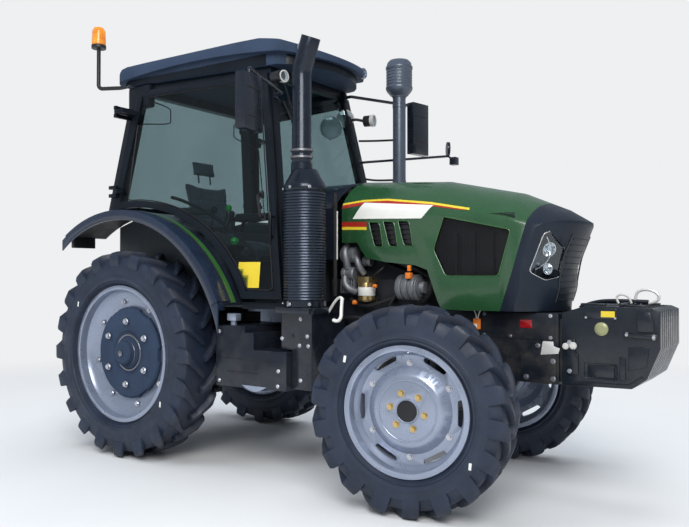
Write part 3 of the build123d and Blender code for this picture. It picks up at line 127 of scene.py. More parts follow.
def span(tree, source, low, high, to_low=0.0, to_high=1.0):
    return add_node(tree, "ShaderNodeMapRange", {
        "From Min": low, "From Max": high, "To Min": to_low, "To Max": to_high, "Value": source}).outputs["Result"]


def mixed(tree, factor, first, second):
    return add_node(tree, "ShaderNodeMix", {0: factor, 6: first, 7: (*second, 1)}, data_type="RGBA").outputs[2]


def product(tree, first, second):
    return add_node(tree, "ShaderNodeMath", {0: first, 1: second}, operation="MULTIPLY").outputs[0]


def mix_shaders(tree, factor, first, second):
    return add_node(tree, "ShaderNodeMixShader", {0: factor, 1: first.outputs[0], 2: second.outputs[0]}).outputs[0]


# ------------------------------------------------------------------ finishes
def new_finish(name, inputs=None):
    """A new material with its tree and its main shader, whose inputs may be given."""
    finish = bpy.data.materials.new(name)
    finish.use_nodes = True
    tree = finish.node_tree
    return finish, tree, fill(tree, tree.nodes["Principled BSDF"], inputs or {})


def bump(tree, shader, height, strength, distance):
    node = add_node(tree, "ShaderNodeBump", {"Strength": strength, "Distance": distance, "Height": height})
    fill(tree, shader, {"Normal": node.outputs["Normal"]})


DUST = (0.20, 0.17, 0.13)


def surface(name, colour, rough, metal=0.0, coat=0.0, grain=900.0, relief=0.1, depth=0.0004,
            vary=0.12, dusty=0.0, specular=0.5):
    """A painted, cast or moulded surface: cloudy colour, fine relief, and dust that thins upwards."""
    finish, tree, shader = new_finish(name)
    dark = tuple(c * (1 - vary) for c in colour)
    light = tuple(min(1, c * (1 + vary) + 0.002) for c in colour)
    base = ramp(tree, object_noise(tree, 5.0), 0.3, dark, 0.7, light)
    if dusty:
        height = add_node(tree, "ShaderNodeSeparateXYZ", {0: object_place(tree)})
        low = span(tree, height.outputs["Z"], 0.1, 1.2, dusty, dusty * 0.12)
        patches = span(tree, object_noise(tree, 11.0, 5.0, 0.65), 0.42, 0.72)
        base = mixed(tree, product(tree, low, patches), base, DUST)
    fine = object_noise(tree, grain, 2.0)
    uneven = span(tree, object_noise(tree, 14.0, 4.0), 0.3, 0.7, max(rough - 0.06, 0.02), min(rough + 0.08, 1.0))
    bump(tree, shader, fine, relief, depth)
    fill(tree, shader, {
        "Base Color": base, "Roughness": uneven, "Metallic": metal, "Coat Weight": coat, "Coat Roughness": 0.08,
        "Specular IOR Level": specular})
    return finish


green_paint = surface("green_paint", (0.017, 0.070, 0.026), 0.26, coat=0.4, grain=260.0, relief=0.04, vary=0.06)
green_edge = surface("green_edge", (0.030, 0.120, 0.026), 0.3, coat=0.5, grain=260.0, relief=0.04)
body_black = surface("body_black", (0.009, 0.013, 0.022), 0.22, coat=0.15, specular=0.4, grain=700.0, relief=0.05,
    dusty=0.15)
cab_black = surface("cab_black", (0.004, 0.007, 0.012), 0.32, specular=0.25, grain=600.0, relief=0.05)
roof_shell = surface("roof_shell", (0.036, 0.055, 0.095), 0.62, specular=0.08, grain=500.0, relief=0.06)
# The guard's black steel made lighter and bluer for its pressed rings: a painted highlight; the rest of the same sheet
# is exhaust_black.
guard_steel_painted_highlight = surface("guard_steel_painted_highlight", (0.040, 0.052, 0.078), 0.30, metal=0.6, grain=500.0, relief=0.04)
lamp_tub = surface("lamp_tub", (0.045, 0.055, 0.075), 0.22, metal=0.8, grain=500.0, relief=0.03)
nose_black = surface("nose_black", (0.010, 0.016, 0.028), 0.38, specular=0.3, grain=500.0, relief=0.04)
grille_black = surface("grille_black", (0.006, 0.006, 0.009), 0.5, grain=400.0, relief=0.2)
chassis_black = surface("chassis_black", (0.005, 0.008, 0.014), 0.40, specular=0.3, grain=240.0, relief=0.25,
    depth=0.0008, dusty=0.35)
chassis_grey = surface("chassis_grey", (0.010, 0.013, 0.020), 0.5, specular=0.3, grain=180.0, relief=0.45, depth=0.0012,
    dusty=0.3)
casting_grey = surface("casting_grey", (0.22, 0.23, 0.25), 0.45, metal=0.6, grain=140.0, relief=0.5, depth=0.0015)
weight_black = surface("weight_black", (0.007, 0.011, 0.018), 0.28, coat=0.15, specular=0.4, grain=160.0, relief=0.25,
    depth=0.0010, dusty=0.12)
exhaust_black = surface("exhaust_black", (0.010, 0.016, 0.028), 0.24, coat=0.15, metal=0.4, grain=500.0, relief=0.05)
intake_grey = surface("intake_grey", (0.075, 0.095, 0.13), 0.3, metal=0.3, coat=0.2, grain=400.0, relief=0.06)
rim_silver = surface("rim_silver", (0.31, 0.355, 0.46), 0.30, metal=0.55, coat=0.3, grain=500.0, relief=0.06, vary=0.05,
    dusty=0.12)
plastic_grey = surface("plastic_grey", (0.045, 0.055, 0.065), 0.5, grain=800.0, relief=0.2)
plastic_black = surface("plastic_black", (0.012, 0.013, 0.016), 0.45, grain=900.0, relief=0.2)
rubber_trim = surface("rubber_trim", (0.010, 0.010, 0.012), 0.6, grain=900.0, relief=0.15)
bolt_silver = surface("bolt_silver", (0.55, 0.56, 0.60), 0.28, metal=0.9, grain=900.0, relief=0.05)
bolt_gold = surface("bolt_gold", (0.62, 0.46, 0.20), 0.3, metal=0.9, grain=900.0, relief=0.05)
brass = surface("brass", (0.50, 0.37, 0.17), 0.3, metal=0.85, grain=500.0, relief=0.08)
worn_steel = surface("worn_steel", (0.30, 0.30, 0.32), 0.35, metal=0.9, grain=300.0, relief=0.2, dusty=0.2)
chrome = surface("chrome", (0.75, 0.77, 0.80), 0.08, metal=1.0, grain=900.0, relief=0.02, vary=0.02)
mirror_glass = surface("mirror_glass", (0.70, 0.74, 0.78), 0.03, metal=1.0, grain=50.0, relief=0.01, vary=0.02)
white_paint = surface("white_paint", (0.78, 0.78, 0.74), 0.4, grain=500.0, relief=0.05, vary=0.04)
yellow_film = surface("yellow_film", (0.72, 0.54, 0.03), 0.35, coat=0.2, grain=500.0, relief=0.04, vary=0.05)
red_film = surface("red_film", (0.34, 0.018, 0.012), 0.3, coat=0.3, grain=500.0, relief=0.04, vary=0.05)
orange_plastic = surface("orange_plastic", (0.80, 0.20, 0.02), 0.4, grain=500.0, relief=0.1)
red_lens = surface("red_lens", (0.30, 0.008, 0.012), 0.12, coat=0.8, grain=120.0, relief=0.25, depth=0.001)
pale_metal = surface("pale_metal", (0.60, 0.60, 0.58), 0.35, metal=0.2, grain=500.0, relief=0.1)
olive_cap = surface("olive_cap", (0.30, 0.31, 0.16), 0.35, metal=0.2, grain=500.0, relief=0.1)
# The fender lips' black plastic, made lighter and bluer than body_black: the blue on it is a painted sky reflection.
lip_black_painted_reflection = surface("lip_black_painted_reflection", (0.012, 0.022, 0.046), 0.26, coat=0.3, grain=500.0, relief=0.04)
green_knob = surface("green_knob", (0.03, 0.55, 0.06), 0.35, coat=0.3, grain=500.0, relief=0.05)


def glassy(name, tint, gloss, rough=0.02):
    """Clear pane: light passes straight through with a tint, and a share of it mirrors."""
    finish, tree, shader = new_finish(name, {
        "Base Color": (*tint, 1), "Roughness": rough, "Transmission Weight": 1.0, "IOR": 1.45, "Coat Weight": 0.3})
    cloud = object_noise(tree, 2.2, 3.0, 0.6, (1, 1, 0.5))
    through = add_node(tree, "ShaderNodeBsdfTransparent", {
        "Color": ramp(tree, cloud, 0.3, tuple(c * 0.94 for c in tint), 0.7, tint)})
    mirror = add_node(tree, "ShaderNodeBsdfGlossy", {"Roughness": rough, "Color": (0.85, 0.92, 0.95, 1)})
    fill(tree, tree.nodes["Material Output"], {"Surface": mix_shaders(tree, gloss, through, mirror)})
    return finish


cab_glass = glassy("tinted_glass", (0.63, 0.700, 0.710), 0.03)
clear_lens = glassy("clear_lens", (0.93, 0.96, 0.98), 0.10)


def amber_lens():
    """Ribbed amber plastic that glows a little where light passes through it."""
    finish, tree, shader = new_finish("amber", {
        "Roughness": 0.15, "Coat Weight": 0.6, "Subsurface Weight": 0.3, "Subsurface Radius": (0.05, 0.02, 0.005)})
    cloud = ramp(tree, object_noise(tree, 18.0), 0.3, (0.75, 0.20, 0.01), 0.7, (0.95, 0.36, 0.03))
    fill(tree, shader, {"Base Color": cloud})
    bump(tree, shader, object_noise(tree, 90.0, 2.0, 0.5, (1, 1, 0.1)), 0.15, 0.001)
    return finish


def tyre_rubber():
    """Dark rubber with a grain, dust in the hollows and earth on the worn lug tops."""
    finish, tree, shader = new_finish("tyre_rubber")
    cloud = ramp(tree, object_noise(tree, 6.0, 4.0), 0.3, (0.009, 0.015, 0.031), 0.72, (0.019, 0.030, 0.058))
    worn = add_node(tree, "ShaderNodeAttribute", attribute_name="lug_top")
    earth = product(tree, worn.outputs["Fac"], span(tree, object_noise(tree, 9.0, 6.0, 0.7), 0.44, 0.60))
    tint = mixed(tree, product(tree, earth, 0.30), cloud, (0.070, 0.062, 0.055))
    dust = span(tree, object_noise(tree, 30.0, 6.0, 0.7), 0.55, 0.8, 0.0, 0.10)
    fill(tree, shader, {
        "Base Color": mixed(tree, dust, tint, (0.10, 0.105, 0.115)),
        "Roughness": span(tree, object_noise(tree, 16.0, 5.0), 0.3, 0.7, 0.42, 0.68)})
    bump(tree, shader, object_noise(tree, 160.0, 6.0, 0.65), 0.35, 0.0012)
    return finish


def seat_cloth():
    """Woven seat cloth: a fine basket weave over a soft cloudy colour."""
    finish, tree, shader = new_finish("seat_cloth", {
        "Roughness": 0.85, "Sheen Weight": 0.35, "Sheen Roughness": 0.5})
    weave = add_node(tree, "ShaderNodeTexVoronoi", {"Scale": 260.0, "Vector": object_place(tree)}).outputs["Distance"]
    cloud = ramp(tree, object_noise(tree, 12.0, 4.0), 0.3, (0.070, 0.096, 0.125), 0.7, (0.125, 0.160, 0.200))
    fill(tree, shader, {"Base Color": mixed(tree, span(tree, weave, 0.0, 0.7, 0.0, 0.45), cloud,
        (0.012, 0.016, 0.022))})
    bump(tree, shader, weave, 0.35, 0.0008)
    return finish


amber = amber_lens()
rubber = tyre_rubber()
cloth = seat_cloth()


# ------------------------------------------------------------------ building meshes
def mesh_of(bm, name):
    mesh = bpy.data.meshes.new(name)
    bm.to_mesh(mesh)
    bm.free()
    return mesh


def linked(name, data):
    """A new object in the scene."""
    holder = bpy.data.objects.new(name, data)
    bpy.context.scene.collection.objects.link(holder)
    return holder


def baked(holder):
    """The plain mesh that an object's curve or modifiers give; the object itself goes."""
    made = bpy.data.meshes.new_from_object(holder.evaluated_get(bpy.context.evaluated_depsgraph_get()))
    holder.modifiers.clear()
    bpy.data.objects.remove(holder)
    return made


def keep(bm, name, finish, body, angle=32.0, replaced=()):
    """Turns a mesh in the row frame into a finished piece that rides on a body."""
    bmesh.ops.recalc_face_normals(bm, faces=bm.faces)
    return keep_mesh(mesh_of(bm, name), name, finish, body, angle, replaced)


def keep_mesh(mesh, name, finish, body, angle=32.0, replaced=()):
    piece = linked(name, mesh)
    if finish is not None:
        mesh.materials.clear()
        mesh.materials.append(finish)
    mesh.polygons.foreach_set("use_smooth", [True] * len(mesh.polygons))
    mesh.set_sharp_from_angle(angle=math.radians(angle))
    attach(piece, body)
    if replaced:
        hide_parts(*replaced)
    return piece


def absorb(bm, part, matrix=None):
    if matrix is not None:
        part.transform(matrix)
    mesh = mesh_of(part, "part")
    bm.from_mesh(mesh)
    bpy.data.meshes.remove(mesh)
    return bm


def soften(bm, width, angle=28.0):
    """Rounds the sharp edges."""
    edges = [e for e in bm.edges if len(e.link_faces) == 2 and e.calc_face_angle(0) > math.radians(angle)]
    if edges and width > 0:
        bmesh.ops.bevel(bm, geom=edges, offset=width, segments=2, profile=0.5, affect="EDGES", clamp_overlap=True)


def bridge(part, rings, capped=True):
    """Joins each ring of corners to the next, and closes the two ends; a ring may be one point, repeated."""
    for one, two in zip(rings, rings[1:]):
        for i in range(len(one)):
            j = (i + 1) % len(one)
            corners = tuple(dict.fromkeys((one[i], one[j], two[j], two[i])))
            if len(corners) > 2:
                part.faces.new(corners)
    for end in (rings[0], rings[-1][::-1]) if capped else ():
        if len(set(end)) > 2:
            part.faces.new(end)
    bmesh.ops.recalc_face_normals(part, faces=part.faces)


def add_prism(bm, outline, low, high, rounding=0.0, standing=False):
    """A flat outline made solid between two heights, or, standing, between two distances to the left."""
    part = bmesh.new()
    bridge(part, [[part.verts.new((u, w, v) if standing else (u, v, w)) for u, v in outline] for w in (low, high)])
    soften(part, rounding)
    return absorb(bm, part)


def rect(x0, z0, x1, z1):
    return (x0, z0), (x1, z0), (x1, z1), (x0, z1)


def outline_at(points):
    return [tuple(at(x, 0, z))[::2] for x, z in points]


def add_plate(bm, side, points, near, far, rounding=0.0):
    """A plate on one side of the tractor: an outline of (forward, up) and two distances from the middle."""
    low, high = sorted((side * near, side * far))
    return add_prism(bm, outline_at(points), low, high, rounding, True)


def add_box(bm, low, high, rounding=0.0, matrix=None):
    part = bmesh.new()
    (x0, y0, z0), (x1, y1, z1) = low, high
    add_prism(part, ((x0, y0), (x1, y0), (x1, y1), (x0, y1)), z0, z1, rounding)
    return absorb(bm, part, matrix)


def add_block(bm, low, high, rounding=0.0, side=1):
    """A box between two places given from the rear axle's line; side -1 puts it on the right."""
    (x0, y0, z0), (x1, y1, z1) = low, high
    near, far = sorted((side * y0, side * y1))
    return add_box(bm, at(x0, near, z0), at(x1, far, z1), rounding)


def add_turned(bm, profile, centre=(0, 0, 0), axis="Z", steps=32, matrix=None):
    """A profile of (radius, height) turned about an axis through centre; open ends are closed."""
    part = bmesh.new()
    rings = []
    for radius, height in profile:
        ring = []
        for i in range(steps if radius > 1e-6 else 1):
            a = math.tau * i / steps
            across, along = radius * math.sin(a), radius * math.cos(a)
            ring.append(part.verts.new((across, height, along) if axis == "Y" else (along, across, height)))
        rings.append(ring * (steps // len(ring)))
    bridge(part, rings, profile[0] != profile[-1])
    bmesh.ops.remove_doubles(part, verts=part.verts, dist=1e-6)
    bmesh.ops.recalc_face_normals(part, faces=part.faces)
    part.transform(Matrix.Translation(Vector(centre)))
    return absorb(bm, part, matrix)


def add_knob(bm, side, x, out, z, profile, steps):
    """A turned form whose axis points straight out to one side."""
    add_turned(bm, profile, steps=steps, matrix=placed(at(x, side * out, z), ("X", -side * 90)))


def add_tube(bm, points, radius, sides=12):
    """A round bar along smooth points, closed at its ends."""
    curve = bpy.data.curves.new("path", "CURVE")
    curve.dimensions = "3D"
    curve.bevel_depth = radius
    curve.bevel_resolution = max(1, sides // 4 - 1)
    curve.use_fill_caps = True
    spline = curve.splines.new("NURBS")
    spline.points.add(len(points) - 1)
    for point, place in zip(spline.points, points):
        point.co = (*place, 1)
    spline.order_u = min(3, len(points))
    spline.use_endpoint_u = True
    spline.resolution_u = 6
    mesh = baked(linked("path", curve))
    bm.from_mesh(mesh)
    bpy.data.curves.remove(curve)
    bpy.data.meshes.remove(mesh)
    return bm


def add_forms(matrix, *forms):
    """Turned forms on one axis, from (mesh, steps, profile)."""
    for bm, steps, profile in forms:
        add_turned(bm, profile, steps=steps, matrix=matrix)


def add_pipes(bm, sides, *pipes):
    """Round bars from (radius, places from the rear axle's line)."""
    for radius, *places in pipes:
        add_tube(bm, path(*places), radius, sides)


def dress(node, finish, rounding):
    """A CAD node's own shape with its seams closed, its edges rounded and its curves shaded smooth."""
    cad = nodes[node]
    bm = bmesh.new()
    bm.from_mesh(cad.data)
    bmesh.ops.remove_doubles(bm, verts=bm.verts, dist=2e-5)
    bmesh.ops.dissolve_limit(bm, angle_limit=math.radians(0.6), verts=bm.verts, edges=bm.edges)
    soften(bm, rounding, 30.0)
    return keep(bm, node + "_finish", finish, cad["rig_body"], 30.0, (node,))


def paint_node(node, finish):
    """A CAD node whose shape is right as it is gets its finish."""
    cad = nodes[node]
    if not cad.data.materials:
        cad.data.materials.append(finish)
    for holder in cad.material_slots:
        holder.material = finish


# ------------------------------------------------------------------ node trees for repeated forms
def tree_with(name, inputs):
    """A geometry tree with named inputs; gives the tree, its input sockets and their identifiers."""
    tree = bpy.data.node_groups.new(name, "GeometryNodeTree")
    new_socket = tree.interface.new_socket
    new_socket("Geometry", in_out="INPUT", socket_type="NodeSocketGeometry")
    keys = {label: new_socket(label, in_out="INPUT", socket_type="NodeSocket" + kind).identifier
            for label, kind in inputs.items()}
    new_socket("Geometry", in_out="OUTPUT", socket_type="NodeSocketGeometry")
    return tree, add_node(tree, "NodeGroupInput").outputs, keys


def spread_on(tree, points, form, **more):
    return add_node(tree, "GeometryNodeInstanceOnPoints", {"Points": points, "Instance": form, **more}).outputs[0]


def made_real(tree, form):
    return add_node(tree, "GeometryNodeRealizeInstances", {0: form}).outputs[0]


def finish_tree(tree, form, finish):
    paint = add_node(tree, "GeometryNodeSetMaterial", {"Geometry": made_real(tree, form), "Material": finish})
    add_node(tree, "NodeGroupOutput", {0: paint.outputs[0]})


def ring_tree(finish):
    """Repeats a form round the Y axis, then turns and places the whole ring."""
    tree, given, keys = tree_with("ring_of_" + finish.name, {
        "Count": "Int", "Step": "Float", "Turn": "Rotation", "Place": "Vector"})
    line = add_node(tree, "GeometryNodeMeshLine", {"Offset": (0, 0, 0), "Count": given["Count"]})
    angle = product(tree, add_node(tree, "GeometryNodeInputIndex").outputs[0], given["Step"])
    euler = add_node(tree, "ShaderNodeCombineXYZ", {"Y": angle})
    turn = add_node(tree, "FunctionNodeEulerToRotation", {0: euler.outputs[0]})
    ring = spread_on(tree, line.outputs[0], given["Geometry"], Rotation=turn.outputs[0])
    move = add_node(tree, "GeometryNodeTransform", {
        "Geometry": made_real(tree, ring), "Rotation": given["Turn"], "Translation": given["Place"]})
    finish_tree(tree, move.outputs[0], finish)
    return tree, keys


def row_tree(finish):
    """Repeats a form along a straight line."""
    tree, given, keys = tree_with("row_of_" + finish.name, {"Count": "Int", "Step": "Vector"})
    line = add_node(tree, "GeometryNodeMeshLine", {"Count": given["Count"], "Offset": given["Step"]})
    finish_tree(tree, spread_on(tree, line.outputs[0], given["Geometry"]), finish)
    return tree, keys


def bolt_tree(finish):
    """A hexagon head on a washer at each point, aimed and sized by the point's own values."""
    tree, given, keys = tree_with("bolts_of_" + finish.name, {"Washer": "Float", "Height": "Float"})
    head = add_node(tree, "GeometryNodeMeshCylinder", {"Vertices": 6, "Radius": 1.0, "Depth": given["Height"]})
    washer = add_node(tree, "GeometryNodeMeshCylinder", {"Vertices": 18, "Depth": 0.3, "Radius": given["Washer"]})
    lift = add_node(tree, "GeometryNodeTransform", {"Translation": (0, 0, 0.5), "Geometry": head.outputs["Mesh"]})
    both = add_node(tree, "GeometryNodeJoinGeometry", {0: lift.outputs[0]})
    fill(tree, both, {0: washer.outputs["Mesh"]})
    aim, size = (add_node(tree, "GeometryNodeInputNamedAttribute", {"Name": name}, data_type=kind).outputs["Attribute"]
                 for name, kind in (("aim", "FLOAT_VECTOR"), ("size", "FLOAT")))
    turn = add_node(tree, "FunctionNodeAlignRotationToVector", {"Vector": aim}, axis="Z")
    finish_tree(tree, spread_on(tree, given["Geometry"], both.outputs[0], Rotation=turn.outputs[0], Scale=size), finish)
    return tree, keys


trees = {}


def grown(bm, maker, finish, values):
    """Runs a node tree on a mesh and gives the result back as a plain mesh."""
    if (maker, finish.name) not in trees:
        trees[maker, finish.name] = maker(finish)
    tree, keys = trees[maker, finish.name]
    seed = linked("seed", mesh_of(bm, "seed"))
    modifier = seed.modifiers.new("grow", "NODES")
    modifier.node_group = tree
    for label, value in values.items():
        modifier[keys[label]] = value
    seed.update_tag()
    bpy.context.view_layer.update()
    return baked(seed)


def bolts(name, finish, body, spots, washer=1.5, height=0.9):
    """Bolt heads at spots of (place, direction, size across the corners over two)."""
    bm = bmesh.new()
    aim = bm.verts.layers.float_vector.new("aim")
    size = bm.verts.layers.float.new("size")
    for place, direction, radius in spots:
        vert = bm.verts.new(place)
        vert[aim] = direction
        vert[size] = radius
    made = grown(bm, bolt_tree, finish, {"Washer": washer, "Height": height})
    return keep_mesh(made, name, None, body)


# ------------------------------------------------------------------ wheels
def wheel_place(kind, side_name):
    joint = joints[f"{kind}_spin_{side_name}"]
    ax, ay, _ = joint["axis"]
    return Vector(joint["pos_m"]), math.atan2(-ax, ay)


TYRES = {
    # outer radius, half width, rim flange radius, half rim width, lugs a side, lug height
    "front": (0.528, 0.1275, 0.330, 0.111, 18, 0.036),
    "rear": (0.684, 0.155, 0.453, 0.1275, 20, 0.036),
}


def make_carcass(kind, side_name):
    outer, half, flange, rim_half, _, lug = TYRES[kind]
    seat, bead, tread = flange - 0.0195, rim_half - 0.0095, outer - lug
    wall = [
        (seat, bead), (flange + 0.004, bead - 0.001), (flange + 0.012, bead + 0.006), (flange + 0.020, half - 0.006),
        (flange + 0.030, half - 0.009), (flange + 0.034, half - 0.003), (flange + 0.052, half + 0.001),
        (flange + 0.058, half - 0.002), (flange + 0.085, half - 0.001), ((flange + outer) / 2, half - 0.001),
        (outer - 0.104, half - 0.004), (outer - 0.090, half - 0.008), (tread - 0.030, half - 0.014),
        (tread - 0.010, half - 0.028), (tread, half - 0.052)]
    profile = [(r, -y) for r, y in wall] + [(r, y) for r, y in reversed(wall)]
    profile.append(profile[0])
    place, turn = wheel_place(kind, side_name)
    matrix = Matrix.Translation(place) @ Matrix.Rotation(turn, 4, "Z")
    return add_turned(bmesh.new(), profile, axis="Y", steps=96, matrix=matrix)


def lug_form(kind):
    """One pair of tread lugs, each sweeping back from the middle to the shoulder and down the side."""
    outer, half, _, _, count, lug = TYRES[kind]
    foot = outer - lug - 0.012
    stations = (
        # trail, length round the tyre, top radius, distance out, foot radius, foot distance out, on the tread
        (-0.006, 0.032, outer - 0.004, 0.004, foot, 0.002, 1),
        (0.020, 0.038, outer, half * 0.25, foot, half * 0.22, 1),
        (0.066, 0.050, outer, half * 0.55, foot, half * 0.50, 1),
        (0.110, 0.068, outer - 0.003, half * 0.82, foot - 0.004, half * 0.66, 1),
        (0.128, 0.084, outer - 0.012, half * 0.97, foot - 0.014, half * 0.76, 1),
        (0.134, 0.094, outer - 0.034, half + 0.004, foot - 0.028, half - 0.024, 0),
        (0.136, 0.104, outer - 0.070, half + 0.004, foot - 0.045, half - 0.020, 0),
        (0.136, 0.108, outer - 0.102, half - 0.001, foot - 0.070, half - 0.018, 0),
    )
    foot_flare = 0.009
    whole = bmesh.new()
    whole.verts.layers.float.new("lug_top")
    for side, stagger in ((1, 0.0), (-1, 0.5)):
        part = bmesh.new()
        layer = part.verts.layers.float.new("lug_top")
        rings = []
        for trail, length, r_top, y_top, r_foot, y_foot, flat in stations:
            top, low = (r_top, y_top, 0, float(flat)), (r_foot, y_foot, foot_flare, 0.0)
            rings.append([])
            for (r, y, flare, shade), end in ((top, -1), (top, 1), (low, 1), (low, -1)):
                a = math.pi + math.tau * stagger / count - (trail + end * (length / 2 + flare)) / outer
                vert = part.verts.new((r * math.sin(a), side * y, r * math.cos(a)))
                vert[layer] = shade
                rings[-1].append(vert)
        bridge(part, rings)
        rims = [e for e in part.edges if e.calc_face_angle(0) > math.radians(40) and e.verts[0].co.length > foot and
                sum(math.hypot(v.co.x, v.co.z) for v in e.verts) / 2 > outer - 0.10]
        bmesh.ops.bevel(part, geom=rims, offset=0.006, segments=2, profile=0.6, affect="EDGES", clamp_overlap=True)
        absorb(whole, part)
    return whole


def make_tyre(kind, side_name):
    place, turn = wheel_place(kind, side_name)
    count = TYRES[kind][4]
    lugs = grown(lug_form(kind), ring_tree, rubber, {
        "Count": count, "Step": math.tau / count, "Turn": (0, 0, turn), "Place": tuple(place)})
    bm = make_carcass(kind, side_name)
    bm.verts.layers.float.new("lug_top")
    bm.from_mesh(lugs)
    bpy.data.meshes.remove(lugs)
    tyre = f"{kind}_tyre_{side_name}"
    keep(bm, tyre + "_tread", rubber, f"{kind}_wheel_{side_name}", 30, (tyre,))


for kind in ("front", "rear"):
    for side_name, _ in SIDES:
        make_tyre(kind, side_name)


# ------------------------------------------------------------------ the CAD nodes' finishes
DRESSED = (
    # node, finish, rounding of its edges
    ("gearbox", chassis_grey, 0.006), ("engine", chassis_grey, 0.006), ("front_frame", chassis_black, 0.003),
    ("front_axle", chassis_black, 0.004), ("hood", green_paint, 0.0015), ("hood_nose", nose_black, 0.0015),
    ("cowl", body_black, 0.002),
    ("cab_frame", cab_black, 0.004), ("cab_floor", rubber_trim, 0.003), ("cab_panels", plastic_grey, 0.001),
    ("roof", roof_shell, 0.012), ("door_left", cab_black, 0.004), ("door_right", cab_black, 0.004),
    # The fender lips' bluish black is a painted reflection.
    ("fenders", body_black, 0.002), ("fender_lips", lip_black_painted_reflection, 0.003), ("dash", plastic_black, 0.003),
    ("exhaust_pipe", exhaust_black, 0.001),
    ("fuel_tank", body_black, 0.010), ("battery_box", body_black, 0.005), ("left_steps", body_black, 0.004),
    ("weights", weight_black, 0.004), ("weight_carrier", chassis_black, 0.003), ("mirrors", body_black, 0.010),
    ("lamps", plastic_black, 0.002), ("beacon", plastic_black, 0.002), ("beacon_lens", amber, 0.003),
    ("lower_links", chassis_black, 0.004), ("lift_arms", chassis_black, 0.005), ("lift_rods", worn_steel, 0.002),
    ("drawbar", chassis_black, 0.004), ("top_link", worn_steel, 0.002), ("steering_rod", worn_steel, 0.001),
    ("knuckle_left", chassis_black, 0.004), ("knuckle_right", chassis_black, 0.004), ("fuel_filter", brass, 0.002),
    ("alternator", casting_grey, 0.001), ("rear_lamps", plastic_black, 0.003),
    ("rear_rim_left", rim_silver, 0.002), ("rear_rim_right", rim_silver, 0.002), ("front_rim_left", rim_silver, 0.002),
    ("front_rim_right", rim_silver, 0.002), ("rear_wheel_plate_left", roof_shell, 0.003), ("rear_wheel_plate_right",
        roof_shell, 0.003),
)
for node, finish, rounding in DRESSED:
    dress(node, finish, rounding)
for node in ("cab_glass", "door_glass_left", "door_glass_right"):
    paint_node(node, cab_glass)


# ------------------------------------------------------------------ forms laid on a CAD surface
FAR_SIDE = 0.9  # rays towards the middle start this far out
HOOD_HALF = 0.33  # about where the hood's side is, for points that a ray misses


def searcher(*names):
    bm = bmesh.new()
    for name in names:
        bm.from_mesh(nodes[name].data)
    found = BVHTree.FromBMesh(bm)
    bm.free()
    return found


def met(found, place, side, start=FAR_SIDE):
    """The point and the normal where a surface is first met from one side; None and None where it isn't."""
    return found.ray_cast(Vector((place.x, side * start, place.z)), Vector((0, -side, 0)))[:2]


def patch_on(bm, found, outline, side, lift, cell=0.03):
    """An outline given as (x, z), laid on the surface that is met from one side, and lifted off it."""
    part = bmesh.new()
    part.faces.new([part.verts.new(at(x, 0, z)) for x, z in outline])
    for _ in range(5):
        long_edges = [e for e in part.edges if e.calc_length() > cell]
        if not long_edges:
            break
        bmesh.ops.subdivide_edges(part, edges=long_edges, cuts=1)
        bmesh.ops.triangulate(part, faces=part.faces)
    for vert in part.verts:
        hit, normal = met(found, vert.co, side)
        if hit is None:
            hit, normal, _, _ = found.find_nearest(Vector((vert.co.x, side * HOOD_HALF, vert.co.z)))
        out = normal if normal.y * side > 0 or abs(normal.y) < 1e-3 else -normal
        vert.co = Vector((vert.co.x, hit.y, vert.co.z)) + out * lift
    for face in part.faces:
        face.normal_update()
        if face.normal.y * side < 0:
            face.normal_flip()
    return absorb(bm, part)


def film(name, found, outlines, finish, lift=0.0008, thickness=0.0006):
    """Thin films or plates on both sides of the hood, with their own thickness."""
    bm = bmesh.new()
    for side in BOTH:
        for outline in outlines:
            patch_on(bm, found, outline, side, lift)
    mesh = mesh_of(bm, name)
    piece = linked(name, mesh)
    thick = piece.modifiers.new("thick", "SOLIDIFY")
    thick.thickness, thick.offset = thickness, 1.0
    made = baked(piece)
    bpy.data.meshes.remove(mesh)
    return keep_mesh(made, name, finish, "hood")


def rim_on(bm, found, outline, side, radius, lift=0.0):
    """A round bead that follows a closed outline on the surface."""
    points = []
    for (x0, z0), (x1, z1) in zip(outline, (*outline[1:], outline[0])):
        steps = max(2, int(math.hypot(x1 - x0, z1 - z0) / 0.04))
        for k in range(steps):
            place = at(x0 + (x1 - x0) * k / steps, side * HOOD_HALF, z0 + (z1 - z0) * k / steps)
            hit, _ = met(found, place, side)
            if hit is not None and abs(hit.y) > 0.05:
                place.y = hit.y
            points.append(place + Vector((0, side * lift, 0)))
    return add_tube(bm, points + points[:1], radius, 8)


# ------------------------------------------------------------------ hood
hood_skin = searcher("hood")
nose_skin = searcher("hood_nose")
VENT_X = (1.655, 1.755, 1.855)
WINDOW = ((2.150, 1.530), (2.540, 1.445), (2.470, 1.200), (2.160, 1.200), (2.085, 1.350))
LAMP_LENS = ((2.732, 1.435), (2.772, 1.347), (2.755, 1.287), (2.734, 1.193), (2.689, 1.177), (2.628, 1.225),
    (2.705, 1.417))
NOSE_AHEAD = 3.0  # rays towards the nose start this far forward


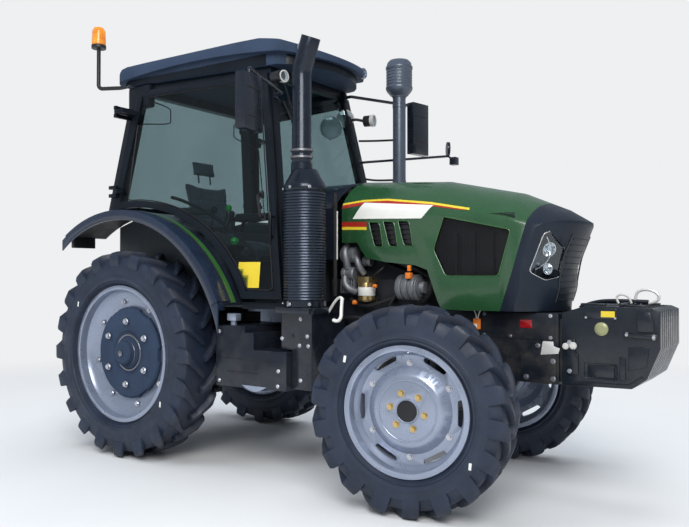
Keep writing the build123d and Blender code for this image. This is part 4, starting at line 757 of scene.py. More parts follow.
def make_hood_trim():
    """Two stripes and a blank plate on each side, beads round the openings, and louvres behind the vents."""
    top = ((1.463, 1.641), (1.607, 1.656), (1.768, 1.654), (2.058, 1.617), (2.300, 1.571))
    middle = tuple((x, z - 0.012) for x, z in top)
    low = ((1.463, 1.607), (1.607, 1.624), (1.768, 1.624), (2.058, 1.594), (2.249, 1.563))
    front, rear = 1.463, 1.640
    film("stripe_yellow", hood_skin, [
        (*top, *reversed(middle)), ((front, 1.498), (rear, 1.491), (rear, 1.474), (front, 1.480))], yellow_film)
    film("stripe_red", hood_skin, [
        (*middle, *reversed(low)), ((front, 1.528), (rear, 1.521), (rear, 1.491), (front, 1.498))], red_film)
    plate = ((1.541, 1.543), (1.615, 1.637), (2.081, 1.597), (2.010, 1.526))
    film("blank_plate", hood_skin, [plate], white_paint, 0.0016, 0.0012)
    bm = bmesh.new()
    vents = [((x, 1.520), (x + 0.075, 1.515), (x + 0.100, 1.365), (x + 0.040, 1.375)) for x in VENT_X]
    for side in BOTH:
        for outline in (*vents, WINDOW):
            rim_on(bm, hood_skin, outline, side, 0.0028)
    keep(bm, "hood_opening_beads", green_edge, "hood")
    bm = bmesh.new()
    for side in BOTH:
        add_plate(bm, side, ((1.640, 1.535), (1.990, 1.530), (2.010, 1.350), (1.680, 1.360)), 0.300, 0.308, 0.002)
        for x in VENT_X:
            for k in range(5):
                foot, z = x + k * 0.006, 1.500 - k * 0.028
                add_block(bm, (foot, 0.310, z), (foot + 0.085, 0.322, z + 0.004), 0.001, side)
    keep(bm, "vent_louvres", plastic_black, "hood")


def make_window_mesh():
    """Square wire mesh behind the hood's side windows, with a dark duct behind it."""
    made = bmesh.new()
    pitch, wire, out = 0.009, 0.0012, 0.3205
    for side in BOTH:
        y = side * out
        for step, count, low, high in (
                ((pitch, 0, 0), 54, at(2.078, y - wire, 1.188), at(2.078 + 2 * wire, y + wire, 1.536)),
                ((0, 0, pitch), 39, at(2.072, y - wire, 1.190), at(2.560, y + wire, 1.190 + 2 * wire))):
            mesh = grown(add_box(bmesh.new(), low, high), row_tree, grille_black, {"Count": count, "Step": step})
            made.from_mesh(mesh)
            bpy.data.meshes.remove(mesh)
    keep(made, "window_mesh", grille_black, "hood", replaced=("hood_grilles",))
    bm = bmesh.new()
    outline = ((2.110, 1.530), (2.540, 1.450), (2.480, 1.190), (2.150, 1.190), (2.080, 1.345))
    for side in BOTH:
        add_plate(bm, side, outline, 0.262, 0.270, 0.002)
        for x in (2.20, 2.31, 2.42):
            add_block(bm, (x, 0.272, 1.21), (x + 0.012, 0.300, 1.44), 0.003, side)
    keep(bm, "window_duct", plastic_black, "hood")


def make_headlamps():
    """Clear lenses over bright faceted tubs with two round lamps and a cross bar."""
    lens_face = searcher("headlamps")
    bright, clear, dark, tub, edge = (bmesh.new() for _ in range(5))
    mid_x, mid_z = (sum(values) / len(LAMP_LENS) for values in zip(*LAMP_LENS))
    narrow, low, deep = 0.72, 0.78, 0.048
    for side in BOTH:
        patch_on(clear, lens_face, LAMP_LENS, side, 0.0006, 1.0)
        rim_on(edge, lens_face, LAMP_LENS, side, 0.0022, 0.0005)
        part = bmesh.new()
        rims, floors = [], []
        for x, z in LAMP_LENS:
            place = at(x, side * 0.24, z)
            hit, _ = met(lens_face, place, side)
            y = place.y if hit is None else hit.y
            rims.append(part.verts.new(place + Vector((-0.002, y - side * 0.001 - place.y, 0))))
            floors.append(part.verts.new(at(
                mid_x + (x - mid_x) * narrow - deep, y * 0.86, mid_z + (z - mid_z) * low)))
        for i in range(len(rims)):
            j = (i + 1) % len(rims)
            part.faces.new((rims[i], rims[j], floors[j], floors[i]))
        bmesh.ops.triangulate(part, faces=[part.faces.new(floors)])
        absorb(tub, part)
        for (x, z), r in (((2.722, 1.335), 0.036), ((2.705, 1.238), 0.028)):
            hit, normal = met(lens_face, at(x, 0, z), side)
            out = normal if normal.x > 0 else -normal
            turn = Matrix.Translation(hit - out * 0.040) @ out.to_track_quat("Z", "Y").to_matrix().to_4x4()
            add_turned(bright, (
                (0, 0.004), (r * 0.55, 0.008), (r * 0.9, 0.020), (r, 0.030), (r * 1.08, 0.030), (r * 1.08, 0.0),
                (0, 0.0)), steps=28, matrix=turn)
            add_turned(dark, ((0, 0.009), (r * 0.30, 0.010), (r * 0.26, 0.024), (0, 0.028)), steps=18, matrix=turn)
        ends = [met(lens_face, at(x, 0, z), side)[0] for x, z in ((2.722, 1.405), (2.748, 1.290), (2.660, 1.236))]
        if all(ends):
            add_tube(bright, [end - Vector((0.012, side * 0.006, 0)) for end in ends], 0.004, 8)
    keep(tub, "headlamp_tubs", lamp_tub, "hood", replaced=("headlamps",))
    keep(edge, "headlamp_edges", pale_metal, "hood")
    keep(bright, "headlamp_reflectors", chrome, "hood")
    keep(dark, "headlamp_bulbs", clear_lens, "hood")
    keep_mesh(mesh_of(clear, "headlamp_lenses"), "headlamp_lenses", clear_lens, "hood")


def nose_line(bm, places, lift, radius):
    """A bar that follows the nose's front through places of (left, up), as far as it is met."""
    hits = [nose_skin.ray_cast(Vector((NOSE_AHEAD, y, z)), Vector((-1, 0, 0)))[0] for y, z in places]
    points = [hit + Vector((lift, 0, 0)) for hit in hits if hit is not None]
    if len(points) > 2:
        add_tube(bm, points, radius, 8)


def make_nose_grille():
    """Bars and a frame on the bowed front, between the headlamps."""
    bm = bmesh.new()
    for k in range(11):
        half = 0.150 - 0.004 * abs(k - 5)
        nose_line(bm, [(half * (i / 4 - 1), 1.075 + k * 0.032) for i in range(9)], 0.0015, 0.0032)
    for side in BOTH:
        nose_line(bm, [(side * (0.158 - 0.003 * abs(k - 5)), 1.060 + k * 0.040) for k in range(10)], 0.002, 0.0045)
    keep(bm, "nose_grille_bars", plastic_black, "hood")


make_hood_trim()
make_window_mesh()
make_headlamps()
make_nose_grille()


# ------------------------------------------------------------------ exhaust and air intake
def make_guard():
    """The silencer's guard: close rings pressed into the sheet, a plain band, and the dome above. The rings are a
    lighter copy of the guard's steel, a painted highlight.
    """
    low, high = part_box("muffler")
    x, y = (low.x + high.x) / 2, (low.y + high.y) / 2
    r = (high.x - low.x) / 2 - 0.0002
    z0, z1 = low.z, 1.722
    neck_x = x - 0.024
    profile = [
        (0.0, z0), (r - 0.010, z0), (r - 0.006, z0 + 0.004), (r - 0.006, z0 + 0.040), (r - 0.009, z0 + 0.042),
        (r - 0.009, z1 - 0.030), (r - 0.002, z1 - 0.028), (r, z1 - 0.020), (r, z1 - 0.004), (r - 0.004, z1 + 0.006),
        (r - 0.016, z1 + 0.030), (r - 0.034, z1 + 0.060), (r - 0.050, z1 + 0.092), (0.066, z1 + 0.099),
        (0.0, z1 + 0.100)]
    bm = add_turned(bmesh.new(), profile, (x, y, 0), steps=72)
    add_turned(bm, ((0.0, z1 + 0.09), (0.063, z1 + 0.09), (0.063, z1 + 0.136), (0.060, z1 + 0.1395),
        (0.0, z1 + 0.1395)),
               (neck_x, y, 0), steps=40)
    keep(bm, "silencer_guard", exhaust_black, "chassis", 40, ("muffler",))
    count, foot = 38, z0 + 0.044
    pitch = (z1 - 0.034 - foot) / count
    seed = add_turned(bmesh.new(), (
        (r - 0.010, foot), (r - 0.001, foot + 0.0005), (r, foot + 0.002), (r - 0.0035, foot + pitch * 0.66),
        (r - 0.010, foot + pitch * 0.74), (r - 0.010, foot)), (x, y, 0), steps=72)
    # The rings' lighter steel is a painted highlight on the pressed rings.
    rings = grown(seed, row_tree, guard_steel_painted_highlight, {"Count": count, "Step": (0, 0, pitch)})
    keep_mesh(rings, "guard_rings", None, "chassis", 40)
    bm = bmesh.new()
    for z in (1.885, 1.925):
        add_turned(bm, ((0.0635, z + 0.002), (0.0655, z + 0.004), (0.0655, z + 0.014), (0.0635, z + 0.016),
                        (0.0635, z + 0.002)), (neck_x, y, 0), steps=48)
        add_box(bm, (neck_x + 0.060, y - 0.010, z + 0.002), (neck_x + 0.082, y + 0.010, z + 0.016), 0.003)
    for degrees in (20, 140, 260):
        a = math.radians(degrees)
        tab_x, tab_y = math.cos(a), math.sin(a)
        add_box(bm, (x + (r - 0.002) * tab_x - 0.008, y + (r - 0.002) * tab_y - 0.008, z0 + 0.006),
                (x + r * tab_x + 0.004, y + r * tab_y + 0.004, z0 + 0.036), 0.002)
    keep(bm, "exhaust_clamps", worn_steel, "chassis")
    spots = []
    for degrees in (-150, -95, -40):
        out = Vector((math.cos(math.radians(degrees)), math.sin(math.radians(degrees)), 0))
        for z in (z0 + 0.020, z1 - 0.012):
            spots.append((Vector((x, y, z)) + out * (r + 0.0005), out, 0.0065))
    bolts("guard_bolts", bolt_silver, "chassis", spots)


def make_cleaner():
    """The air cleaner's cap on its mast: a ribbed bowl under a domed lid."""
    _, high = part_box("intake_mast")
    centre = at(1.345, 0.550, 0)
    profile = [(0.0, 2.474), (0.050, 2.474), (0.052, 2.484), (0.064, 2.490), (0.084, 2.514), (0.094, 2.530),
               (0.0965, 2.545), (0.094, 2.552)]
    for k in range(5):
        z = 2.560 + k * 0.022
        profile += [(0.090, z), (0.093, z + 0.005), (0.093, z + 0.014), (0.090, z + 0.018)]
    profile += [(0.0965, 2.680), (0.0965, 2.694), (0.090, 2.702), (0.086, 2.722), (0.070, 2.740), (0.036, 2.748),
                (0.0, high.z - 0.0005)]
    bm = add_turned(bmesh.new(), profile, centre, steps=64)
    add_turned(bm, ((0.0, 1.148), (0.046, 1.148), (0.046, 2.478), (0.0, 2.478)), centre, steps=40)
    for z in (1.50, 1.86, 2.40):
        add_turned(bm, ((0.0462, z), (0.0485, z + 0.002), (0.0485, z + 0.022), (0.0462, z + 0.024), (0.0462, z)),
                   centre, steps=40)
    add_block(bm, (1.275, 0.380, 1.120), (1.415, 0.590, 1.150), 0.006)
    add_block(bm, (1.315, 0.200, 1.120), (1.375, 0.400, 1.150), 0.004)
    keep(bm, "air_cleaner", intake_grey, "chassis", 40, ("intake_mast",))


make_guard()
make_cleaner()


# ------------------------------------------------------------------ wheel fittings
def wheel_frame(kind, side_name, side):
    """From a wheel's own axes, with its outer side towards +Y, to the row frame."""
    place, turn = wheel_place(kind, side_name)
    flip = Matrix.Identity(4) if side > 0 else Matrix.Rotation(math.pi, 4, "Z")
    return Matrix.Translation(place) @ Matrix.Rotation(turn, 4, "Z") @ flip


def ring_spots(matrix, radius, out, size, count, first=0.0):
    aim = (matrix.to_3x3() @ Vector((0, 1, 0))).normalized()
    spots = []
    for i in range(count):
        a = math.radians(first) + math.tau * i / count
        spots.append((matrix @ Vector((radius * math.sin(a), out, radius * math.cos(a))), aim, size))
    return spots


# How far out from a wheel's middle these stand: the front hub, the front disc and the rear wheel's plate.
HUB_FACE, DISC_FACE, PLATE_FACE = 0.080, 0.074, 0.059


def add_bead(bm, matrix, low, high, foot, step, flat, drop):
    """A closed ring round a wheel's axle between two radii: its foot, where it stands out, and its flat face."""
    add_turned(bm, ((low, foot), (low, step), (low + 0.002, flat), (high - 0.002, flat), (high, drop), (high, foot),
                    (low, foot)), axis="Y", steps=64, matrix=matrix)


def make_wheel_fittings():
    """Bores, beads, bolts, valves, hub rings and the white marks on the tyres."""
    for side_name, side in SIDES:
        turn, body = wheel_frame("front", side_name, side), "front_wheel_" + side_name
        bm = bmesh.new()
        add_turned(bm, ((0.0, HUB_FACE + 0.0014), (0.050, HUB_FACE + 0.0014), (0.052, HUB_FACE + 0.0008),
                        (0.052, HUB_FACE - 0.004)), axis="Y", steps=40, matrix=turn)
        keep(bm, "front_hub_bore_" + side_name, grille_black, body)
        bm = bmesh.new()
        for low, high, out in ((0.053, 0.060, HUB_FACE - 0.002), (0.150, 0.158, DISC_FACE + 0.0016)):
            add_bead(bm, turn, low, high, out - 0.006, out, out + 0.0015, out - 0.0005)
        keep(bm, "front_disc_beads_" + side_name, rim_silver, body)
        spots = ring_spots(turn, 0.092, DISC_FACE + 0.0012, 0.0135, 6, 20)
        bolts("front_hub_bolts_" + side_name, bolt_gold, body, spots, 1.35, 1.1)
        spots = ring_spots(turn, 0.236, DISC_FACE - 0.040, 0.011, 6, 0)
        bolts("front_rim_bolts_" + side_name, bolt_silver, body, spots, 1.5, 1.0)
        bm = bmesh.new()
        stem = ((0.0, 0.075, 0.296), (0.006, 0.095, 0.288), (0.014, 0.112, 0.270))
        add_tube(bm, [turn @ Vector(point) for point in stem], 0.005, 8)
        add_box(bm, (-0.012, 0.060, 0.289), (0.012, 0.076, 0.299), 0.002, turn)
        keep(bm, "front_valve_" + side_name, chrome, body)
        turn, body = wheel_frame("rear", side_name, side), "rear_wheel_" + side_name
        spots = ring_spots(turn, 0.210, PLATE_FACE + 0.0145, 0.017, 6, 0)
        bolts("rear_plate_bolts_" + side_name, bolt_silver, body, spots, 1.25, 0.8)
        spots = ring_spots(turn, 0.345, 0.038, 0.012, 8, 12)
        bolts("rear_disc_bolts_" + side_name, bolt_silver, body, spots, 1.5, 0.9)
        bm = bmesh.new()
        for low, high, out in ((0.112, 0.124, PLATE_FACE - 0.0095), (0.080, 0.086, PLATE_FACE + 0.0085)):
            add_bead(bm, turn, low, high, out - 0.002, out + 0.004, out + 0.006, out + 0.003)
        keep(bm, "rear_hub_rings_" + side_name, worn_steel, body)
        bm = bmesh.new()
        add_turned(bm, ((0.0, 0.1175), (0.020, 0.1175), (0.022, 0.124), (0.012, 0.129), (0.0, 0.130)),
                   axis="Y", steps=6, matrix=turn)
        keep(bm, "rear_hub_plug_" + side_name, worn_steel, body)
        for kind, radius, out in (("front", 0.405, 0.1273), ("rear", 0.520, 0.1548)):
            bm = bmesh.new()
            for degrees in (52, 236):
                a = math.radians(degrees)
                mark = (wheel_frame(kind, side_name, side) @ Matrix.Rotation(a, 4, "Y")
                        @ Matrix.Translation((0, out, radius)) @ Matrix.Rotation(0.5, 4, "Y"))
                add_box(bm, (-0.017, -0.0004, -0.007), (0.017, 0.0006, 0.007), 0.0003, mark)
            keep(bm, f"{kind}_tyre_marks_{side_name}", white_paint, f"{kind}_wheel_{side_name}")


# ------------------------------------------------------------------ front weights
WEIGHT_HALF = 0.229  # half the width of the row of weights
WEIGHTS = 10


def keep_plates(name, finish, slot, *rows):
    """Plates on both sides of the chassis, from rows of (outline, near, far, rounding)."""
    bm = bmesh.new()
    for side in BOTH:
        for row in rows:
            add_plate(bm, side, *row)
    keep(bm, name, finish, "chassis")


def make_weight_fittings():
    """Raised faces, caps, bolts, joints, lock bar and pins on the row of weights, and a blank patch on each side."""
    raised = (
        # how far it stands out, how far it is sunk, rounding, outline
        (0.003, 0.002, 0.002, rect(2.890, 0.986, 3.052, 1.040)),
        (0.016, 0.002, 0.004, ((3.085, 0.903), (3.242, 0.896), (3.242, 0.917), (3.085, 0.924))),
        (0.010, 0.002, 0.004, ((3.147, 0.930), (3.225, 0.930), (3.225, 0.985), (3.207, 1.026), (3.147, 1.029))),
        (0.010, 0.002, 0.004, (
            (2.800, 0.700), (2.862, 0.700), (2.862, 0.800), (2.848, 0.812), (2.848, 0.880), (2.800, 0.880))),
        (0.008, 0.002, 0.003, rect(3.062, 0.690, 3.092, 0.800)),
        (-0.003, 0.007, 0.002, rect(2.905, 0.695, 3.035, 0.752)),
        (0.006, 0.002, 0.004, ((3.105, 0.735), (3.190, 0.760), (3.205, 0.862), (3.105, 0.850))),
        (0.005, 0.002, 0.002, (
            (2.790, 0.650), (3.110, 0.657), (3.178, 0.705), (3.170, 0.715), (3.105, 0.670), (2.790, 0.664))),
    )
    keep_plates("weight_face_plates", weight_black, "weight_black", *(
        (outline, WEIGHT_HALF - sunk, WEIGHT_HALF + out, rounding) for out, sunk, rounding, outline in raised))
    keep_plates("blank_yellow_patches", yellow_film, "weight_black", (rect(2.975, 0.996, 3.042, 1.026), 0.2325, 0.2335))
    bm = bmesh.new()
    for side in BOTH:
        add_knob(bm, side, 2.977, WEIGHT_HALF, 0.936, (
            (0.0, -0.002), (0.034, -0.002), (0.034, 0.006), (0.030, 0.010), (0.018, 0.013), (0.0, 0.014)), 32)
    keep(bm, "weight_caps", olive_cap, "chassis")
    bm = bmesh.new()
    for i in range(1, WEIGHTS):
        y = WEIGHT_HALF * (2 * i / WEIGHTS - 1)
        add_block(bm, (2.905, y - 0.0014, 1.0462), (3.205, y + 0.0014, 1.0485), 0.0004)
    keep(bm, "weight_top_joints", grille_black, "chassis")
    bm = bmesh.new()
    add_tube(bm, path((2.800, 0.0, 1.030), (2.870, 0.0, 1.066), (3.020, 0.0, 1.072), (3.150, 0.0, 1.068)), 0.011, 12)
    for y in (-0.17, 0.17):
        add_block(bm, (2.86, y - 0.022, 1.045), (2.98, y + 0.022, 1.062), 0.004)
        add_block(bm, (3.08, y - 0.018, 1.043), (3.17, y + 0.018, 1.058), 0.004)
    add_tube(bm, path((3.060, -0.205, 1.058), (3.060, 0.205, 1.058)), 0.009, 12)
    keep(bm, "weight_lock_bar", weight_black, "chassis")
    bm = bmesh.new()
    loop = ((3.085, 1.060), (3.085, 1.098), (3.100, 1.126), (3.140, 1.134), (3.185, 1.122), (3.205, 1.092),
        (3.185, 1.068),
            (3.150, 1.062))
    add_tube(bm, [at(x, 0, z) for x, z in loop], 0.008, 12)
    add_pipes(bm, 12, (
        0.006, (3.030, -0.110, 1.062), (3.012, -0.110, 1.092), (3.040, -0.104, 1.112), (3.082, -0.100, 1.094),
        (3.090, -0.100, 1.062)))
    keep(bm, "weight_pins", pale_metal, "chassis")
    spots = []
    for side in BOTH:
        out = (0, side, 0)
        for x, z, size in (
                (3.226, 0.907, 0.009), (3.100, 0.914, 0.008), (2.818, 0.716, 0.008), (2.818, 0.862, 0.008),
                (2.900, 0.992, 0.004), (3.044, 0.992, 0.004)):
            spots.append((at(x, side * (0.2395 if z < 0.95 else 0.232), z), out, size))
    bolts("weight_bolts", bolt_silver, "chassis", spots)


# ------------------------------------------------------------------ front frame
FRAME_SIDE = 0.2352  # distance of the frame's cheeks from the middle
COVER_SIDE = 0.2392


def make_frame_fittings():
    """Covers, ribs, reflectors, markers, brackets, bolts and knobs on the front frame's cheeks."""
    bm = bmesh.new()
    for side in BOTH:
        for far, rounding, outline in (
                (COVER_SIDE, 0.0015, ((2.330, 0.868), (2.740, 0.868), (2.745, 1.006), (2.330, 1.006))),
                (0.2452, 0.003, ((2.560, 0.648), (2.752, 0.648), (2.752, 0.852), (2.640, 0.852), (2.560, 0.770))),
                (0.2452, 0.003, rect(1.870, 0.826, 1.995, 0.905)),
                (0.2452, 0.002, rect(2.085, 0.715, 2.103, 0.990)),
                (0.2452, 0.002, rect(2.150, 0.715, 2.168, 0.990))):
            add_plate(bm, side, outline, FRAME_SIDE, far, rounding)
        for x in (2.408, 2.460):
            add_knob(bm, side, x, 0.2388, 0.946, (
                (0.010, 0.0), (0.010, 0.0035), (0.0155, 0.0035), (0.0165, 0.0), (0.010, 0.0)), 24)
    keep(bm, "frame_side_plates", chassis_black, "chassis")
    keep_plates("side_reflectors", red_lens, "lamp_red", (rect(2.555, 0.927, 2.621, 0.970), COVER_SIDE, 0.2432, 0.0012))
    keep_plates("side_markers", orange_plastic, "amber", (
        ((2.286, 0.908), (2.330, 0.908), (2.332, 0.968), (2.288, 0.968)), COVER_SIDE, 0.2492, 0.003))
    bm = bmesh.new()
    for side in BOTH:
        add_plate(bm, side, rect(2.292, 0.914, 2.312, 0.938), 0.2492, 0.2502)
        loop = ((2.310, 0.968), (2.308, 0.992), (2.288, 1.022), (2.300, 1.044), (2.314, 1.050), (2.330, 1.044),
                (2.340, 1.022), (2.320, 0.992), (2.318, 0.968))
        add_tube(bm, [at(x, side * 0.252, z) for x, z in loop], 0.0032, 8)
    keep(bm, "marker_loops", white_paint, "chassis")
    keep_plates("weight_brackets", pale_metal, "bare_steel", (
        ((2.668, 0.790), (2.762, 0.800), (2.770, 0.828), (2.740, 0.838), (2.735, 0.862), (2.680, 0.862)),
        FRAME_SIDE, 0.2472, 0.003))
    spots = []
    for side in BOTH:
        for x, z, size in (
                (2.350, 0.880, 0.007), (2.350, 0.994, 0.007), (2.500, 0.880, 0.007), (2.720, 0.880, 0.007),
                (2.720, 0.994, 0.007), (2.590, 0.670, 0.010), (2.735, 0.670, 0.010), (2.735, 0.760, 0.010),
                (2.655, 0.838, 0.009), (1.890, 0.845, 0.011), (1.890, 0.886, 0.011), (1.975, 0.845, 0.011),
                (1.975, 0.886, 0.011), (2.094, 0.740, 0.008), (2.094, 0.960, 0.008), (2.159, 0.740, 0.008)):
            flush = COVER_SIDE if z > 0.865 and x > 2.3 else 0.2455
            spots.append((at(x, side * flush, z), (0, side, 0), size))
    bolts("frame_bolts", bolt_silver, "chassis", spots)
    bm = bmesh.new()
    for side in BOTH:
        for x, z, r in ((2.800, 0.842, 0.017), (2.838, 0.846, 0.019)):
            add_knob(bm, side, x, 0.240, z, ((0.0, -0.002), (r, -0.002), (r, 0.008), (r * 0.75, 0.014), (0.0, 0.016)),
                24)
    keep(bm, "weight_knobs", pale_metal, "chassis")


# ------------------------------------------------------------------ open engine bay
def make_engine_details():
    """Castings, hoses, caps and ribs in the open bay beside the engine, and the drain pipe by the cab."""
    grey, dark, hoses, orange = (bmesh.new() for _ in range(4))
    for x, y, z, r, length in ((1.425, -0.262, 1.330, 0.050, 0.105), (1.430, -0.268, 1.215, 0.040, 0.090),
                               (1.550, -0.222, 1.290, 0.032, 0.060)):
        add_forms(placed(at(x, y, z), ("Y", 90)), (grey, 32, (
            (0.0, 0.0), (r * 0.80, 0.0), (r, 0.008), (r, length * 0.30), (r * 0.84, length * 0.36),
            (r * 0.84, length * 0.60), (r, length * 0.66), (r, length - 0.008), (r * 0.80, length), (0.0, length))))
    add_pipes(
        grey, 16,
        (0.024, (1.460, -0.268, 1.385), (1.460, -0.300, 1.360), (1.475, -0.305, 1.300), (1.470, -0.280, 1.250)),
        (0.020, (1.500, -0.260, 1.330), (1.540, -0.290, 1.310), (1.560, -0.285, 1.250), (1.570, -0.250, 1.215)),
        (0.022, (1.450, -0.275, 1.210), (1.455, -0.300, 1.160), (1.490, -0.295, 1.120), (1.520, -0.260, 1.105)))
    for k in range(6):
        add_block(grey, (1.418 + k * 0.019, -0.285, 1.095), (1.426 + k * 0.019, -0.250, 1.180), 0.002)
    for x, z in ((1.60, 1.36), (1.72, 1.36), (1.84, 1.34)):
        add_knob(dark, -1, x, 0.162, z, (
            (0.0, 0.0), (0.026, 0.0), (0.028, 0.006), (0.028, 0.040), (0.020, 0.052), (0.0, 0.054)), 24)
    keep(grey, "intake_casting", casting_grey, "chassis", 40)
    keep(dark, "injector_caps", plastic_black, "chassis")
    add_pipes(
        hoses, 16,
        (0.021, (1.52, -0.235, 1.375), (1.66, -0.262, 1.330), (1.80, -0.255, 1.300), (1.93, -0.225, 1.235),
         (1.99, -0.190, 1.190)),
        (0.013, (1.470, -0.245, 1.060), (1.560, -0.270, 1.010), (1.700, -0.262, 1.040), (1.800, -0.240, 1.085),
         (1.860, -0.205, 1.120)),
        (0.008, (1.640, -0.262, 1.190), (1.690, -0.300, 1.215), (1.740, -0.280, 1.260), (1.730, -0.215, 1.300)),
        (0.010, (1.700, -0.206, 0.870), (1.740, -0.262, 0.990), (1.790, -0.268, 1.080), (1.840, -0.215, 1.160)),
        (0.012, (1.330, -0.212, 0.980), (1.380, -0.262, 0.930), (1.560, -0.262, 0.960), (1.660, -0.212, 0.900)),
        (0.024, (1.960, -0.212, 1.060), (2.010, -0.250, 1.100), (2.030, -0.215, 1.190), (1.985, -0.150, 1.300)))
    for x in (1.640, 1.756, 1.940):
        add_knob(hoses, -1, x, 0.212, 1.06, ((0.0, 0.0), (0.020, 0.0), (0.020, 0.018), (0.0, 0.018)), 18)
    keep(hoses, "engine_hoses", rubber_trim, "chassis", 50)
    for x, z, r in ((1.680, 1.140, 0.013), (1.535, 1.040, 0.014)):
        add_forms(placed(at(x, -0.300, z), ("Y", 90)), (orange, 20, (
            (0.0, -0.010), (r, -0.010), (r, 0.006), (r * 0.7, 0.012), (0.0, 0.013))))
    add_block(orange, (1.915, -0.352, 1.185), (1.948, -0.318, 1.220), 0.003)
    add_block(orange, (1.922, -0.340, 1.228), (1.942, -0.322, 1.262), 0.003)
    keep(orange, "engine_caps", orange_plastic, "chassis")
    bm = add_turned(bmesh.new(), (
        (0.0522, 1.082), (0.0528, 1.083), (0.0528, 1.132), (0.0522, 1.133), (0.0522, 1.082)),
        at(1.597, -0.262, 0), steps=48)
    keep(bm, "blank_filter_band", white_paint, "chassis")
    bm = bmesh.new()
    along = placed(at(1.905, -0.278, 1.135), ("Y", 90))
    for k in range(9):
        h = -0.058 + k * 0.0142
        add_forms(along, (bm, 48, (
            (0.060, h), (0.0745, h + 0.001), (0.0745, h + 0.0045), (0.060, h + 0.0055), (0.060, h))))
    add_forms(along, (bm, 36, ((0.020, 0.066), (0.052, 0.066), (0.055, 0.074), (0.024, 0.078), (0.020, 0.066))))
    keep(bm, "alternator_ribs", casting_grey, "chassis", 40)
    bm = bmesh.new()
    add_pipes(
        bm, 12,
        (0.010, (1.625, -0.560, 1.075), (1.628, -0.575, 1.010), (1.640, -0.590, 0.965), (1.620, -0.600, 0.940),
         (1.590, -0.600, 0.952)),
        (0.008, (1.500, -0.520, 0.990), (1.560, -0.540, 1.060), (1.615, -0.555, 1.085), (1.626, -0.562, 1.068)))
    keep(bm, "drain_pipe", white_paint, "chassis")


TANK_FACE = 0.698  # distance of the tank's side from the middle


def make_tank_fittings():
    """Bolts on the tank and the battery box, the pale hand hold under the tank and the step lamp over it."""
    spots = [(at(x, y, z), (0, -1, 0), 0.008) for y, places in (
        (-0.7005, ((1.267, 0.560), (1.271, 0.648), (1.300, 0.840), (0.800, 0.860), (0.800, 0.560))),
        (-0.6555, ((1.400, 0.952), (1.448, 0.855), (1.392, 0.800), (1.455, 0.800), (1.400, 0.600)))) for x, z in places]
    bolts("tank_bolts", bolt_silver, "chassis", spots)
    bm = bmesh.new()
    curve = [(0.989 + 0.198 * k / 12, 0.548 - 0.034 * math.sin(math.pi * k / 12)) for k in range(13)]
    add_plate(bm, -1, curve[::-1], TANK_FACE, TANK_FACE + 0.010, 0.002)
    add_block(bm, (0.850, -0.690, 0.926), (0.926, -0.640, 0.972), 0.006)
    add_block(bm, (0.870, -0.675, 0.890), (0.906, -0.655, 0.930), 0.003)
    keep(bm, "step_lamp_and_hold", rim_silver, "chassis")
    bm = bmesh.new()
    for rear, front, z in ((0.800, 1.250, 0.700), (0.860, 1.110, 0.620)):
        add_plate(bm, -1, rect(rear, z, front, z + 0.004), TANK_FACE, TANK_FACE + 0.0045, 0.001)
    keep(bm, "tank_creases", chassis_grey, "chassis")


def make_hitch_fittings():
    """Hydraulic couplers with their dust caps, and the guard over the power take-off stub."""
    metal, cap, guard = bmesh.new(), bmesh.new(), bmesh.new()
    for y in (-0.140, -0.100, 0.100, 0.140):
        add_forms(
            placed(at(-0.245, y, 0.958), ("Y", -90)),
            (metal, 24, ((0.0, -0.001), (0.015, -0.001), (0.015, 0.012), (0.012, 0.014), (0.012, 0.034), (0.0, 0.034))),
            (cap, 24, ((0.0, 0.033), (0.0155, 0.033), (0.0155, 0.048), (0.012, 0.052), (0.0, 0.053))))
    for low, high in (
            ((-0.330, -0.075, 0.664), (-0.241, 0.075, 0.670)), ((-0.330, -0.075, 0.560), (-0.241, -0.069, 0.668)),
            ((-0.330, 0.069, 0.560), (-0.241, 0.075, 0.668))):
        add_block(guard, low, high, 0.002)
    keep(metal, "couplers", worn_steel, "chassis")
    keep(cap, "coupler_caps", red_film, "chassis")
    keep(guard, "stub_guard", chassis_black, "chassis")


make_wheel_fittings()
make_hitch_fittings()
make_tank_fittings()
make_weight_fittings()
make_frame_fittings()
make_engine_details()


# ------------------------------------------------------------------ cab shell
def circle_through(*points):
    """The middle (forward, up) and the radius of the circle through three points."""
    (x1, z1), (x2, z2), (x3, z3) = points
    d = 2 * (x1 * (z2 - z3) + x2 * (z3 - z1) + x3 * (z1 - z2))
    s1, s2, s3 = x1 * x1 + z1 * z1, x2 * x2 + z2 * z2, x3 * x3 + z3 * z3
    cx = (s1 * (z2 - z3) + s2 * (z3 - z1) + s3 * (z1 - z2)) / d
    cz = (s1 * (x3 - x2) + s2 * (x1 - x3) + s3 * (x2 - x1)) / d
    return cx, cz, math.hypot(x1 - cx, z1 - cz)


FENDER_ARCH = circle_through((-0.620, 1.440), (-0.080, 1.632), (0.930, 1.030))
FENDER_REAR = -0.556


def arch_band(bm, side, profile, x0, x1, steps=64):
    """A section of (out from the arch, distance from the centre line) swept along the fender's arch."""
    cx, cz, radius = FENDER_ARCH
    a0, a1 = (math.acos((x - cx) / radius) for x in (x0, x1))
    part = bmesh.new()
    rings = []
    for i in range(steps + 1):
        a = a0 + (a1 - a0) * i / steps
        rings.append([part.verts.new(at(cx + (radius + out) * math.cos(a), side * y, cz + (radius + out) * math.sin(a)))
                      for out, y in profile])
    bridge(part, rings)
    return absorb(bm, part)


